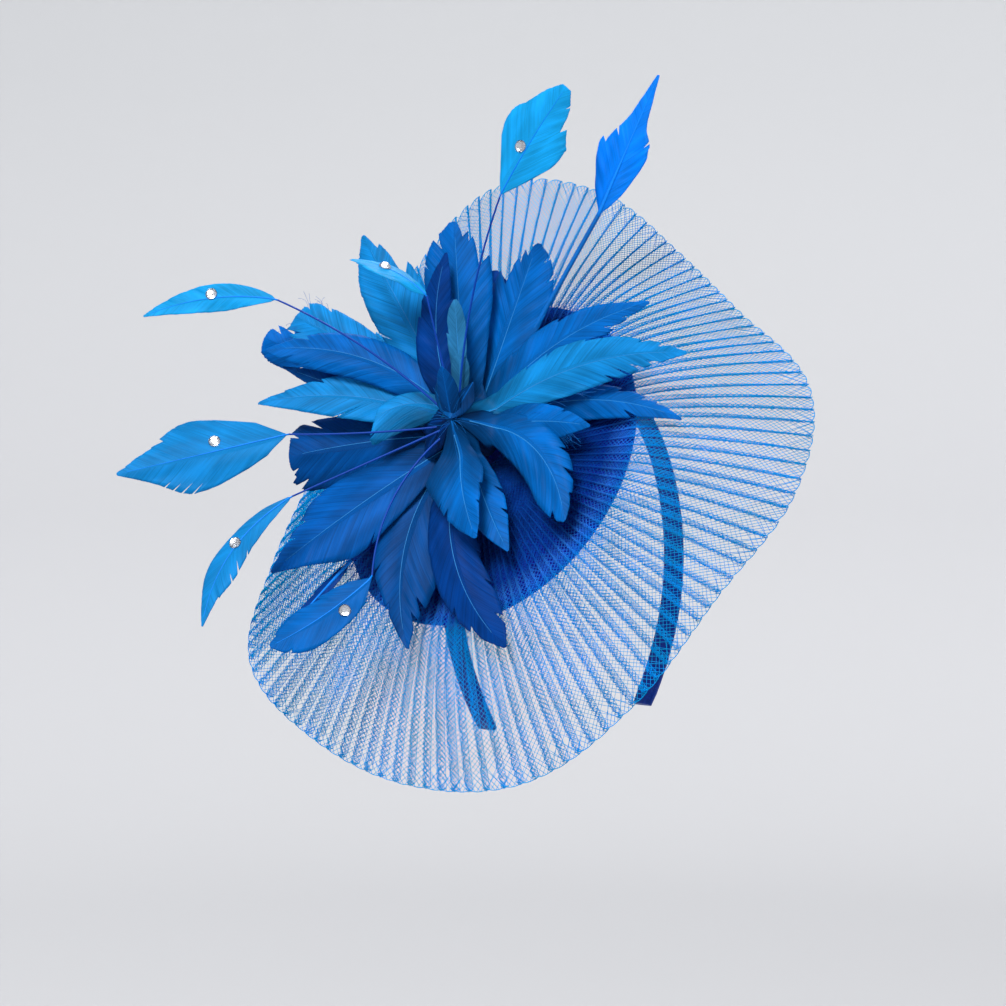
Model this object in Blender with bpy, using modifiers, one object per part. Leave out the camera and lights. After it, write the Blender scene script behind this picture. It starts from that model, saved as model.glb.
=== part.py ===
"""Feather fascinator: a pleated crin brim and a flower of cut feathers on a covered headband.

Lengths below are in millimetres and angles in degrees; MM turns lengths into metres. The wearer's
up is +Z, the wearer faces -Y, and the origin is the inside of the headband's top. The base disc
has its own frame, X to the wearer's front, Y up over the head and Z out of the disc, and the
flower has another, leaning out of it. A turn is counted in those frames from X towards Y.
"""

import math
from collections import namedtuple

import bmesh
import bpy
from mathutils import Matrix, Vector

MM = 0.001
GAP = 0.3  # between pieces that touch

BAND_HALF_WIDTH = 72  # inside, at the temples
BAND_RISE = 85  # from the temples to the top
BAND_DROP = 62  # from the temples to the tips
BAND_TUCK = 22  # how far each tip curves in
BAND_WIDTH = 10
BAND_THICK = 2.5
BAND_EDGE = 0.6  # the bevel along its edges
BAND_ARCH_STEPS = 24
BAND_TIP_STEPS = 5

BASE_LEAN = 28  # the disc's axis above the horizontal
BASE_FORWARD = 10  # the disc's centre in front of the band's middle
BASE_RADIUS = 71
BASE_RISE = 2.5  # its dome
BASE_THICK = 1.6
BASE_SEGMENTS = 48
BASE_RINGS = (0, 0.5, 0.8, 1)  # shares of its radius

FLOWER_FORWARD = 1.5  # the flower's stem on the disc
FLOWER_UP = 4.7
FLOWER_HEIGHT = 19
FLOWER_LEAN = 17  # the flower's axis from the disc's
FLOWER_LEAN_TURN = -25
HEART_LOW = -8.5
HEART_HIGH = 12.5
HEART_LOW_RADIUS = 6.6
HEART_HIGH_RADIUS = 4.0
STEM_RADIUS = 3.6
HEART_SIDES = 16

PLEATS = 120
PLEAT_DEPTH = 0.9  # at the rim, either side of the middle
CRIN_THICK = 1.0
CRIN_HOLE_RADIUS = 8
CRIN_CLEAR = 0.3  # over the base
KNIFE_LEAN = -0.5  # how far each outer fold leans back, of the way to the next fold
CRIN_BEND = 1.3
Rim = namedtuple("Rim", "radius height")
RIM = (  # seen from the flower's stem, a row every 22.5 degrees from the front
    Rim(129, -26), Rim(124, -34), Rim(108, -28), Rim(109, -20),
    Rim(124, -8), Rim(135, -2), Rim(127, -10), Rim(118, -17),
    Rim(116, -20), Rim(125, -15), Rim(136, -4), Rim(134, -9),
    Rim(135, -17), Rim(136, -22), Rim(130, -19), Rim(125, -17),
)
CRIN_ROWS = (0, 0.5, 1, 1.5, 2)  # its rings: 0 is the hole, 1 the base's edge and 2 the rim

FEATHER_THICK = 0.8
QUILL_THICK = 1.2
LAYER_STEP = 1.25
LAYER_LOW = -6.0
LAYER_LIFT = 3.0  # each layer is this much steeper
LOWEST_LIFT = 5.0
ROOT_GAP = 0.6  # from the heart to where a feather starts
CUP = 0.005  # how fast a petal's sides bend down, for each square millimetre from its quill
SHAPES = {  # half width along a blade, as shares of its length and of its widest
    "leaf": ((0, 0.12), (0.15, 0.6), (0.35, 0.95), (0.5, 1), (0.7, 0.82), (0.88, 0.42), (1, 0.06)),
    "oval": ((0, 0.12), (0.15, 0.55), (0.35, 0.85), (0.6, 1), (0.75, 0.94), (0.9, 0.58), (1, 0.08)),
    "spear": ((0, 0.08), (0.2, 0.55), (0.45, 0.9), (0.66, 1), (0.84, 0.52), (1, 0.05)),
    "drop": ((0, 0.12), (0.18, 0.75), (0.36, 1), (0.6, 0.75), (0.85, 0.42), (1, 0.06)),
    "round": ((0, 0.1), (0.15, 0.5), (0.4, 0.8), (0.74, 1), (0.92, 0.68), (1, 0.15)),
    "blunt": ((0, 0.1), (0.18, 0.5), (0.5, 0.9), (0.82, 1), (0.95, 0.92), (1, 0.7)),
    "paddle": ((0, 0.1), (0.2, 0.45), (0.42, 0.9), (0.6, 1), (0.72, 0.76), (0.86, 0.5), (1, 0.16)),
    "kite": ((0, 0.08), (0.12, 0.42), (0.3, 0.72), (0.55, 1), (0.66, 0.94), (0.8, 0.5), (1, 0.04)),
    "arrow": ((0, 0.12), (0.22, 0.65), (0.45, 1), (0.55, 0.85), (0.64, 0.45), (0.82, 0.22), (1, 0.05)),
}
PETAL_STEPS = 7
PETAL_STRIPS = 4
Petal = namedtuple("Petal", "name layer turn length sweep drop twist left right shape")
PETALS = (
    Petal("petal_right_low", 1, 33, 86, -25, 2, -9, 8, 8, "leaf"),
    Petal("petal_right_mid", 3, 43, 92, -21, 8, 7, 11, 10, "leaf"),
    Petal("petal_right_high", 2, 61, 83, -21, 5, -6, 11, 11, "leaf"),
    Petal("petal_right_short", 4, 14, 51, -9, 6, 8, 8, 8, "leaf"),
    Petal("petal_up_right", 1, 80, 74, 1, 3, -7, 14, 14, "round"),
    Petal("petal_up_back", 0, 95, 62, 0, 2, -6, 9, 9, "round"),
    Petal("petal_up", 3, 104, 78, 0, 4, 7, 15, 14, "round"),
    Petal("petal_up_inner", 5, 128, 63, -23, 6, 9, 10, 9, "leaf"),
    Petal("petal_up_short_a", 6, 101, 43, 0, 4, -5, 5, 4, "round"),
    Petal("petal_up_short_b", 7, 98, 22, 0, 2, 6, 4, 4, "round"),
    Petal("petal_up_left", 2, 130, 90, 0, 4, -8, 14, 13, "oval"),
    Petal("petal_left_top", 1, 149, 89, 7, 4, 7, 10, 10, "blunt"),
    Petal("petal_left_back", 0, 160, 99, 4, 2, -6, 9, 9, "blunt"),
    Petal("petal_left_upper", 4, 140, 84, 28, 8, 9, 10, 10, "oval"),
    Petal("petal_left_small", 2, 170, 78, 0, 2, -7, 6, 6, "leaf"),
    Petal("petal_left_mid", 3, 162, 81, 20, 4, 6, 10, 10, "leaf"),
    Petal("petal_left_low", 1, 190, 71, 5, 4, -6, 15, 15, "blunt"),
    Petal("petal_left_strap", 6, 136, 26, 56, 4, 8, 5, 5, "blunt"),
    Petal("petal_down_left", 2, 224, 89, 3, 6, 8, 17, 17, "spear"),
    Petal("petal_down_mid", 1, 237, 84, 33, 4, -7, 16, 13, "spear"),
    Petal("petal_down", 2, 264, 89, 33, 6, 9, 12, 12, "oval"),
    Petal("petal_front_back", 4, 300, 53, 6, 8, -8, 8, 9, "leaf"),
    Petal("petal_front", 7, 288, 46, 9, 12, 7, 10, 16, "drop"),
    Petal("petal_front_right", 5, 371, 60, -42, 12, -8, 11, 11, "oval"),
)

ARROW_STEM_STEPS = 4
ARROW_BLADE_STEPS = 8
ARROW_ROLLS_WITHIN = 0.25  # the share of a blade in which it takes its roll
Arrow = namedtuple(
    "Arrow", "name turn start lift swerve stem blade bend bow roll quill left right shape")
ARROWS = (
    Arrow("arrow_feather_a", 86, 8, 15, 10, 83, 48, -25, 1, 0, 0.8, 16, 16, "paddle"),
    Arrow("arrow_feather_b", 68, -7.6, 8, 0, 93, 59, 7, 0, 0, 1.3, 13, 10, "arrow"),
    Arrow("arrow_feather_c", 112, 9.6, 17, 0, 45, 34, 52, -3, 60, 0.8, 12, 5, "paddle"),
    Arrow("arrow_feather_d", 156, 8, 15, -10, 84, 54, 42, -4, 0, 0.8, 6, 6, "leaf"),
    Arrow("arrow_feather_e", 195, 8, 15, 4, 61, 68, 11, 0, 0, 0.8, 15, 17, "kite"),
    Arrow("arrow_feather_f", 218, 9.6, 14, 0, 64, 61, 37, -8, 0, 0.8, 8, 6, "spear"),
    Arrow("arrow_feather_g", 261, 8, 14, -28, 65, 46, -32, 2, 0, 0.8, 10, 9, "oval"),
    Arrow("arrow_feather_h", 238, -7.6, 6, 0, 62, 38, 3, 0, 0, 1.3, 3, 3, "leaf"),
)

Crystal = namedtuple("Crystal", "name feather along across")
CRYSTALS = (
    Crystal("crystal_a", "arrow_feather_a", 0.41, 0.2),
    Crystal("crystal_c", "arrow_feather_c", 0.6, 0),
    Crystal("crystal_d", "arrow_feather_d", 0.48, -0.3),
    Crystal("crystal_e", "arrow_feather_e", 0.42, -0.3),
    Crystal("crystal_f", "arrow_feather_f", 0.43, -0.2),
    Crystal("crystal_g", "arrow_feather_g", 0.34, 0.4),
)
CRYSTAL_RADIUS = 2.4
CRYSTAL_TABLE_RADIUS = 1.3
CRYSTAL_HEIGHT = 1.7
CRYSTAL_FACETS = 8
CRYSTAL_FEEL = 0.05  # the shares ahead and beside that give the blade's slope under a crystal

Finish = namedtuple("Finish", "colour roughness")
SATIN = Finish((0.004, 0.03, 0.16), 0.4)
STRAW = Finish((0.003, 0.03, 0.22), 0.6)
CRIN = Finish((0.02, 0.12, 0.5), 0.35)
FEATHER = Finish((0.006, 0.13, 0.55), 0.6)
BRIGHT_FEATHER = Finish((0.01, 0.25, 0.7), 0.6)
GLASS = Finish((0.85, 0.88, 0.92), 0.05)


def clear_scene():
    for thing in list(bpy.data.objects):
        bpy.data.objects.remove(thing, do_unlink=True)


def collection_named(name):
    collection = bpy.data.collections.new(name)
    bpy.context.scene.collection.children.link(collection)
    return collection


def material_named(name, finish):
    material = bpy.data.materials.new(name)
    material.use_nodes = True
    shader = material.node_tree.nodes["Principled BSDF"]
    shader.inputs["Base Color"].default_value = (*finish.colour, 1)
    shader.inputs["Roughness"].default_value = finish.roughness
    shader.inputs["Metallic"].default_value = 0
    return material


def object_of(name, mesh_data, finish, collection, frame=None):
    """One named piece, with its own material, in its frame."""
    piece = bpy.data.objects.new(name, mesh_data)
    collection.objects.link(piece)
    piece.parent = frame
    piece.data.materials.append(material_named(name, finish))
    return piece


def empty_at(name, matrix, collection):
    frame = bpy.data.objects.new(name, None)
    collection.objects.link(frame)
    frame.matrix_world = matrix
    return frame


def grid_mesh(name, along, across, place):
    """A grid whose points place(share along, share across) gives in millimetres."""
    mesh_data = bpy.data.meshes.new(name)
    cage = bmesh.new()
    bmesh.ops.create_grid(cage, x_segments=along, y_segments=across, size=0.5)
    for vertex in cage.verts:
        vertex.co = place(vertex.co.x + 0.5, vertex.co.y + 0.5) * MM
    bmesh.ops.remove_doubles(cage, verts=cage.verts, dist=0.001 * MM)
    cage.to_mesh(mesh_data)
    cage.free()
    return mesh_data


def thicken(piece, thickness, side=0):
    wall = piece.modifiers.new("Wall", "SOLIDIFY")
    wall.thickness = thickness * MM
    wall.offset = side
    return wall


def join(piece, other):
    """Fuses the other object into the piece and keeps it as a hidden helper."""
    union = piece.modifiers.new("Join", "BOOLEAN")
    union.operation = "UNION"
    union.object = other
    other.hide_render = True
    other.display_type = "WIRE"


def share_of(rows, share):
    """The value that a table of (share, value) rows gives between its rows."""
    for (low, first), (high, second) in zip(rows, rows[1:]):
        if share <= high:
            return first + (second - first) * (share - low) / (high - low)
    return rows[-1][1]


def frame_matrix(origin, front, out):
    """X along the front, as nearly as Z out of the face allows."""
    z = out.normalized()
    x = (front - z * front.dot(z)).normalized()
    y = z.cross(x)
    turn = Matrix((x, y, z)).transposed().to_4x4()
    return Matrix.Translation(origin * MM) @ turn


def band_angle_at_base():
    """Where on the arch, from the top, the band faces the way the disc does."""
    lean = math.tan(math.radians(BASE_LEAN))
    return math.atan2(BAND_HALF_WIDTH, BAND_RISE * lean)


def band_arch(angle):
    """The inside of the band and its outward direction, an angle down from the top."""
    x, z = math.sin(angle), math.cos(angle)
    place = Vector((BAND_HALF_WIDTH * x, 0, BAND_RISE * (z - 1)))
    return place, Vector((x / BAND_HALF_WIDTH, 0, z / BAND_RISE)).normalized()


def disc_matrix():
    place, out = band_arch(-band_angle_at_base())
    seat = BASE_RISE - BASE_THICK / 2 - GAP * 1.5
    place += out * (BAND_THICK - seat) + Vector((0, -BASE_FORWARD, 0))
    return frame_matrix(place, Vector((0, -1, 0)), out)


def flower_matrix(disc):
    """The flower's frame, leaning out of the disc's."""
    lean, turn = math.radians(FLOWER_LEAN), math.radians(FLOWER_LEAN_TURN)
    out = Vector((math.sin(lean) * math.cos(turn), math.sin(lean) * math.sin(turn), math.cos(lean)))
    place = Vector((FLOWER_FORWARD, FLOWER_UP, FLOWER_HEIGHT))
    return disc @ frame_matrix(place, Vector((1, 0, 0)), out)


def base_height(radius):
    """The middle of the disc's wall above the plane of its edge."""
    return BASE_RISE * (1 - (radius / BASE_RADIUS) ** 2)


def make_headband(collection):
    steps = 2 * (BAND_ARCH_STEPS + BAND_TIP_STEPS)
    arch_share = BAND_ARCH_STEPS / (BAND_ARCH_STEPS + BAND_TIP_STEPS)

    def place(along, across):
        side = 2 * along - 1
        if abs(side) <= arch_share:
            point, _ = band_arch(math.radians(90) * side / arch_share)
        else:
            down = (abs(side) - arch_share) / (1 - arch_share)
            x = BAND_HALF_WIDTH - BAND_TUCK * down**2
            point = Vector((math.copysign(x, side), 0, -BAND_RISE - BAND_DROP * down))
        return point + Vector((0, BAND_WIDTH * (across - 0.5), 0))

    mesh_data = grid_mesh("headband", steps, 1, place)
    band = object_of("headband", mesh_data, SATIN, collection)
    thicken(band, BAND_THICK, 1).use_even_offset = True
    edge = band.modifiers.new("Edge", "BEVEL")
    edge.width = BAND_EDGE * MM
    edge.segments = 1
    edge.angle_limit = math.radians(60)


def make_base_disc(collection, disc):
    half = BASE_THICK / 2
    top = [(BASE_RADIUS * share, base_height(BASE_RADIUS * share) + half) for share in BASE_RINGS]
    under = [(radius, height - BASE_THICK) for radius, height in reversed(top)]
    profile = [(radius * MM, 0, height * MM) for radius, height in top + under]
    mesh_data = bpy.data.meshes.new("base_disc")
    mesh_data.from_pydata(profile, [(i, i + 1) for i in range(len(profile) - 1)], [])
    base = object_of("base_disc", mesh_data, STRAW, collection, disc)
    screw = base.modifiers.new("Turn", "SCREW")
    screw.steps = screw.render_steps = BASE_SEGMENTS
    screw.use_merge_vertices = True
    screw.merge_threshold = 0.00001


def rim_at(angle):
    """The rim at an angle, on a smooth curve through the table's rows."""
    place = (angle / (2 * math.pi) * len(RIM)) % len(RIM)
    row, share = int(place), place - int(place)
    before, first, second, after = (RIM[(row + i) % len(RIM)] for i in (-1, 0, 1, 2))

    def smooth(a, b, c, d):
        square, cube = 2 * a - 5 * b + 4 * c - d, 3 * (b - c) + d - a
        return b + 0.5 * share * (c - a + share * (square + share * cube))

    return Rim(*(smooth(*values) for values in zip(before, first, second, after)))


def base_edge_at(angle):
    """How far the base's edge is from the flower's stem."""
    along = FLOWER_FORWARD * math.cos(angle) + FLOWER_UP * math.sin(angle)
    apart = FLOWER_FORWARD**2 + FLOWER_UP**2 - along**2
    return math.sqrt(BASE_RADIUS**2 - apart) - along


def crin_point(angle, ring, fold):
    """The brim in the disc's frame. The fold is -1 to 1, from its inner folds to its outer ones."""
    rim, edge = rim_at(angle), base_edge_at(angle)
    past = max(0, ring - 1)
    radius = CRIN_HOLE_RADIUS + (edge - CRIN_HOLE_RADIUS) * min(ring, 1) + (rim.radius - edge) * past
    x = FLOWER_FORWARD + radius * math.cos(angle)
    y = FLOWER_UP + radius * math.sin(angle)
    level = base_height(min(math.hypot(x, y), BASE_RADIUS)) + BASE_THICK / 2 + CRIN_CLEAR
    depth = PLEAT_DEPTH * radius / rim.radius
    level += CRIN_THICK / 2 + depth
    return Vector((x, y, level + (rim.height - level) * past**CRIN_BEND + fold * depth))


def make_crin_brim(collection, disc):
    rows = len(CRIN_ROWS) - 1

    def place(along, across):
        column = round(along * 2 * PLEATS)
        lean = KNIFE_LEAN if column % 2 else 0
        angle = 2 * math.pi * (column + lean) / (2 * PLEATS)
        return crin_point(angle, CRIN_ROWS[round(across * rows)], 1 if column % 2 else -1)

    mesh_data = grid_mesh("crin_brim", 2 * PLEATS, rows, place)
    brim = object_of("crin_brim", mesh_data, CRIN, collection, disc)
    thicken(brim, CRIN_THICK)


def make_flower_heart(collection, disc, flower):
    bpy.ops.mesh.primitive_cone_add(
        vertices=HEART_SIDES, radius1=HEART_LOW_RADIUS * MM, radius2=HEART_HIGH_RADIUS * MM,
        depth=(HEART_HIGH - HEART_LOW) * MM)
    mesh_data = bpy.context.object.data
    bpy.data.objects.remove(bpy.context.object)
    mesh_data.transform(Matrix.Translation((0, 0, (HEART_HIGH + HEART_LOW) / 2 * MM)))
    heart = object_of("flower_heart", mesh_data, FEATHER, collection, flower)
    foot = base_height(math.hypot(FLOWER_FORWARD, FLOWER_UP)) + BASE_THICK / 2 + GAP
    bpy.ops.mesh.primitive_cylinder_add(
        vertices=HEART_SIDES, radius=STEM_RADIUS * MM, depth=(FLOWER_HEIGHT - foot) * MM)
    stem = bpy.context.object
    stem.name = "flower_stem"
    stem.parent = disc
    stem.location = Vector((FLOWER_FORWARD, FLOWER_UP, (FLOWER_HEIGHT + foot) / 2)) * MM
    for user in stem.users_collection:
        user.objects.unlink(stem)
    bpy.data.collections["helpers"].objects.link(stem)
    join(heart, stem)


def root_at(height):
    """How far from the flower's axis a feather starts."""
    share = (height - HEART_LOW) / (HEART_HIGH - HEART_LOW)
    return HEART_LOW_RADIUS + (HEART_HIGH_RADIUS - HEART_LOW_RADIUS) * share + ROOT_GAP


def petal_point(petal, along, across):
    """A point of a petal in the flower's frame. Across runs from -1 to 1."""
    start = root_at(LAYER_LOW + LAYER_STEP * petal.layer)
    reach = start + petal.length * along
    half = petal.left if across > 0 else petal.right
    aside = across * half * share_of(SHAPES[petal.shape], along)
    radius = math.hypot(reach, aside)
    angle = math.radians(petal.turn + petal.sweep * along) + math.atan2(aside, reach)
    lift = math.tan(math.radians(LOWEST_LIFT + LAYER_LIFT * petal.layer))
    height = LAYER_LOW + LAYER_STEP * petal.layer + lift * radius
    height -= petal.drop * (radius / (start + petal.length)) ** 2
    height += math.tan(math.radians(petal.twist)) * aside * along - CUP * aside**2
    return Vector((radius * math.cos(angle), radius * math.sin(angle), height))


def make_petals(collection, flower):
    for petal in PETALS:
        def place(along, across, petal=petal):
            return petal_point(petal, along, 2 * across - 1)

        mesh_data = grid_mesh(petal.name, PETAL_STEPS, PETAL_STRIPS, place)
        blade = object_of(petal.name, mesh_data, FEATHER, collection, flower)
        thicken(blade, FEATHER_THICK)


def arrow_point(arrow, along, across):
    """A point of a stripped quill, 0 to 1 along, and its blade, 1 to 2. Across runs from -1 to 1."""
    stem_share, u = min(along, 1), max(along - 1, 0)
    turn = math.radians(arrow.turn + arrow.swerve * (1 - stem_share))
    reach = root_at(arrow.start) + arrow.stem * stem_share
    middle = Vector((math.cos(turn), math.sin(turn))) * reach
    heading = turn
    half = arrow.quill
    if u > 0:
        chord = turn + math.radians(arrow.bend)
        bow = 4 * arrow.bow * u * (1 - u)
        middle += Vector((math.cos(chord), math.sin(chord))) * arrow.blade * u
        middle += Vector((-math.sin(chord), math.cos(chord))) * bow
        heading = chord + math.atan2(4 * arrow.bow * (1 - 2 * u), arrow.blade)
        half = max(half, (arrow.left if across > 0 else arrow.right) * share_of(SHAPES[arrow.shape], u))
    aside = across * half
    roll = math.radians(arrow.roll) * min(1, u / ARROW_ROLLS_WITHIN)
    side = Vector((-math.sin(heading), math.cos(heading))) * math.cos(roll)
    height = arrow.start + math.tan(math.radians(arrow.lift)) * middle.length
    return (middle + side * aside).to_3d() + Vector((0, 0, height + aside * math.sin(roll)))


def make_arrow_feathers(collection, flower):
    steps = ARROW_STEM_STEPS + ARROW_BLADE_STEPS
    for arrow in ARROWS:
        def place(along, across, arrow=arrow):
            step = round(along * steps)
            past = max(0, step - ARROW_STEM_STEPS) / ARROW_BLADE_STEPS
            return arrow_point(arrow, min(1, step / ARROW_STEM_STEPS) + past, 2 * across - 1)

        mesh_data = grid_mesh(arrow.name, steps, 2, place)
        blade = object_of(arrow.name, mesh_data, BRIGHT_FEATHER, collection, flower)
        thicken(blade, QUILL_THICK)


def make_crystals(collection, flower):
    arrows = {arrow.name: arrow for arrow in ARROWS}
    for crystal in CRYSTALS:
        arrow = arrows[crystal.feather]
        middle = arrow_point(arrow, 1 + crystal.along, crystal.across)
        ahead = arrow_point(arrow, 1 + crystal.along + CRYSTAL_FEEL, crystal.across) - middle
        beside = arrow_point(arrow, 1 + crystal.along, crystal.across + CRYSTAL_FEEL) - middle
        out = ahead.cross(beside).normalized()
        lift = QUILL_THICK / 2 + GAP + CRYSTAL_HEIGHT / 2
        bpy.ops.mesh.primitive_cone_add(
            vertices=CRYSTAL_FACETS, radius1=CRYSTAL_RADIUS * MM,
            radius2=CRYSTAL_TABLE_RADIUS * MM, depth=CRYSTAL_HEIGHT * MM)
        mesh_data = bpy.context.object.data
        bpy.data.objects.remove(bpy.context.object)
        stone = object_of(crystal.name, mesh_data, GLASS, collection, flower)
        stone.matrix_local = frame_matrix(middle + out * lift, ahead, out)


def main():
    clear_scene()
    collection = collection_named("feather_fascinator")
    collection_named("helpers")
    disc = empty_at("disc_frame", disc_matrix(), collection)
    flower = empty_at("flower_frame", flower_matrix(disc_matrix()), collection)
    make_headband(collection)
    make_base_disc(collection, disc)
    make_crin_brim(collection, disc)
    make_flower_heart(collection, disc, flower)
    make_petals(collection, flower)
    make_arrow_feathers(collection, flower)
    make_crystals(collection, flower)


main()
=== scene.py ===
"""The looks of a feather fascinator: crin net, straw base, satin band, cut feathers and crystals.

Lengths are in millimetres and angles in degrees, and MM turns lengths into metres. The base disc
and the flower have the frames that the solids are built in: X to the wearer's front, Y up over
the head, Z out of the disc, and a turn is counted from X towards Y.
"""

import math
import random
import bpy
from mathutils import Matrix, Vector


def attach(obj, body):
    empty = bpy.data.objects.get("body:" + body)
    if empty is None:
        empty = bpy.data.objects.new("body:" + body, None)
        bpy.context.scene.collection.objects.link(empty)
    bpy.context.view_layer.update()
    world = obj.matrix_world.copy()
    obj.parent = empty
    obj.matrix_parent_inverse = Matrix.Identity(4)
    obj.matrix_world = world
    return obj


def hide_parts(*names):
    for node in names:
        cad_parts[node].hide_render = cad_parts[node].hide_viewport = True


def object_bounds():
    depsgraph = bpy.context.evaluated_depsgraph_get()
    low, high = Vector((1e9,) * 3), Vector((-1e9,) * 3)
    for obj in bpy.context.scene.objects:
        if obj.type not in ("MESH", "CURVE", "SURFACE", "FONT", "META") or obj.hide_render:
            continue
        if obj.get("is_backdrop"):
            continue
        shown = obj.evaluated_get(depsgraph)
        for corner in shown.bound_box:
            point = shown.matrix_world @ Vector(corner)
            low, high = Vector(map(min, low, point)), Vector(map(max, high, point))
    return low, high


bl_info = {
    "name": "Feather fascinator",
    "version": (1, 0, 0),
    "blender": (4, 5, 0),
    "location": "View3D > Sidebar > Fascinator",
    "description": "Dresses a fascinator's frame with crin net, cut feathers, crystals and satin",
    "category": "Object",
}

from collections import namedtuple

import bmesh
import bpy
from bpy.props import FloatProperty, FloatVectorProperty, IntProperty, PointerProperty
from mathutils import Matrix, Vector, noise

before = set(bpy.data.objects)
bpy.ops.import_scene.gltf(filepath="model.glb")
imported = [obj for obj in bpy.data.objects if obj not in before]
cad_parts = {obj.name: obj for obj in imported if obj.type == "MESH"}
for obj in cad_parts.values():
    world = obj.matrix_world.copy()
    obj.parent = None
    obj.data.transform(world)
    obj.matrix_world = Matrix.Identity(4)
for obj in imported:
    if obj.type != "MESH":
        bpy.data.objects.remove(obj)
CAD_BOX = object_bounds()

MM = 0.001
SEAM = 0.002 * MM  # points closer than this are one
BODY = "root"
LEFT, RIGHT = 1, -1  # of a quill, seen from its root with the flower's axis up

DISC_MIDDLE = Vector((-62.085, -10, -39.223))
BASE_LEAN = 28
FLOWER_STEM = Vector((1.5, 4.7, 19))  # in the disc's frame
FLOWER_LEAN = 17
FLOWER_LEAN_TURN = -25

BAND_HALF_WIDTH = 72
BAND_RISE = 85
BAND_DROP = 62
BAND_TUCK = 22
BAND_WIDTH = 10
BAND_THICK = 2.5
BAND_STEPS = 150
BAND_SIDES = 24
BAND_SQUARENESS = 5  # of its section: 2 is an ellipse
BAND_ARCH = 0.83  # the share of its length that is the arch over the head
BAND_END = 0.93  # how large its section is at the two tips
BAND_CLOTH = (390, 25)  # its satin, along the band and round it

BASE_RADIUS = 71
BASE_RISE = 2.5
BASE_THICK = 1.6
BASE_RINGS = 12
BASE_TURNS = 128
BASE_EDGE_STEPS = 6

PLEATS = 120
PLEAT_HEIGHT = 1.25  # at the rim, either side of the middle
PLEAT_NET = 10.9  # how much net one pleat takes up
PLEAT_INNER = 0.6  # the share of its height that a pleat has over the base
PLEAT_UNEVEN = 0.3  # how far a fold strays from its place, in pleats
CRIN_THICK = 1.0
CRIN_HOLE = 8
CRIN_CLEAR = 0.3
CRIN_BEND = 1.3  # over 1 the net leaves the base level and bends on its way to the rim
CRIN_TOOTH = 0.7  # how far a pleat's outer fold stands past its inner one at the rim
CRIN_SCALLOP = 1.3  # how far the rim bulges between two folds
CRIN_CROSSES = 11.2  # how many pleats' net a thread crosses on its way to the rim
CRIN_STEPS = 96  # along a thread
CRIN_STRAY = 0.25  # how far a thread strays from its place, in threads
CRIN_LIFT = 0.07  # how far each of the two sets of threads lies from the net's middle
ON_A_SIDE = 1e-6  # keeps a point on one side of a fold, in pleats
EDGE_POINTS = 8  # on the rim of a pleat's upper side
EDGE_THREAD = 1.4  # times the net's thread
FOLD_SWINGS = ((0, 1), (1, 0), (0.5, 0.5))  # where its threads are at even and odd steps
FOLD_START = 0.45  # the ring where the folds' gathered threads start
FOLD_WHOLE = 1.3  # the ring from which they have their whole width
FOLD_STRAY = 0.7
FOLD_LIFT = 0.1  # of each thread over the one before it
FOLD_INNER_EVERY = 4  # the inner folds are plain, with fewer points
FOLD_INNER_SIZE = 0.6
FOLD_STEPS = 84  # how often a fold's gathered threads cross it
FOLD_NARROW = 0.85  # how wide they are where they are narrowest
FOLD_NARROW_TURN = 60  # where that is
FOLD_SPREAD = 1.4  # how much wider they are on the other side
SOLID_PLEAT = 0.9  # the height that the solid brim's pleats have
# Painted shade and light on the net: darkest near the flower, lighter half way over the base.
NET_SHADE_RADIUS = BASE_RADIUS - 11  # the net is painted darkest within this radius, over the base
NET_UNSHADED_RADIUS = BASE_RADIUS + 3  # and has no painted shade or light outside this one
NET_PAINTED_FACE = ((0.01, 0.14, 0.7), (0.06, 0.38, 1))  # its painted colour where it is darkest, and half way
NET_PAINTED_GLOW = ((0.05, 0.14, 0.6), (0.3, 0.42, 0.95))  # there, the painted shares of light that come through
Rim = namedtuple("Rim", "radius height")
RIM = (  # seen from the flower's stem, a row every 22.5 degrees from the front
    Rim(129, -26), Rim(124, -34), Rim(108, -28), Rim(109, -20),
    Rim(124, -8), Rim(135, -2), Rim(127, -10), Rim(118, -17),
    Rim(116, -20), Rim(125, -15), Rim(136, -4), Rim(134, -9),
    Rim(135, -17), Rim(136, -22), Rim(130, -19), Rim(125, -17),
)

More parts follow.
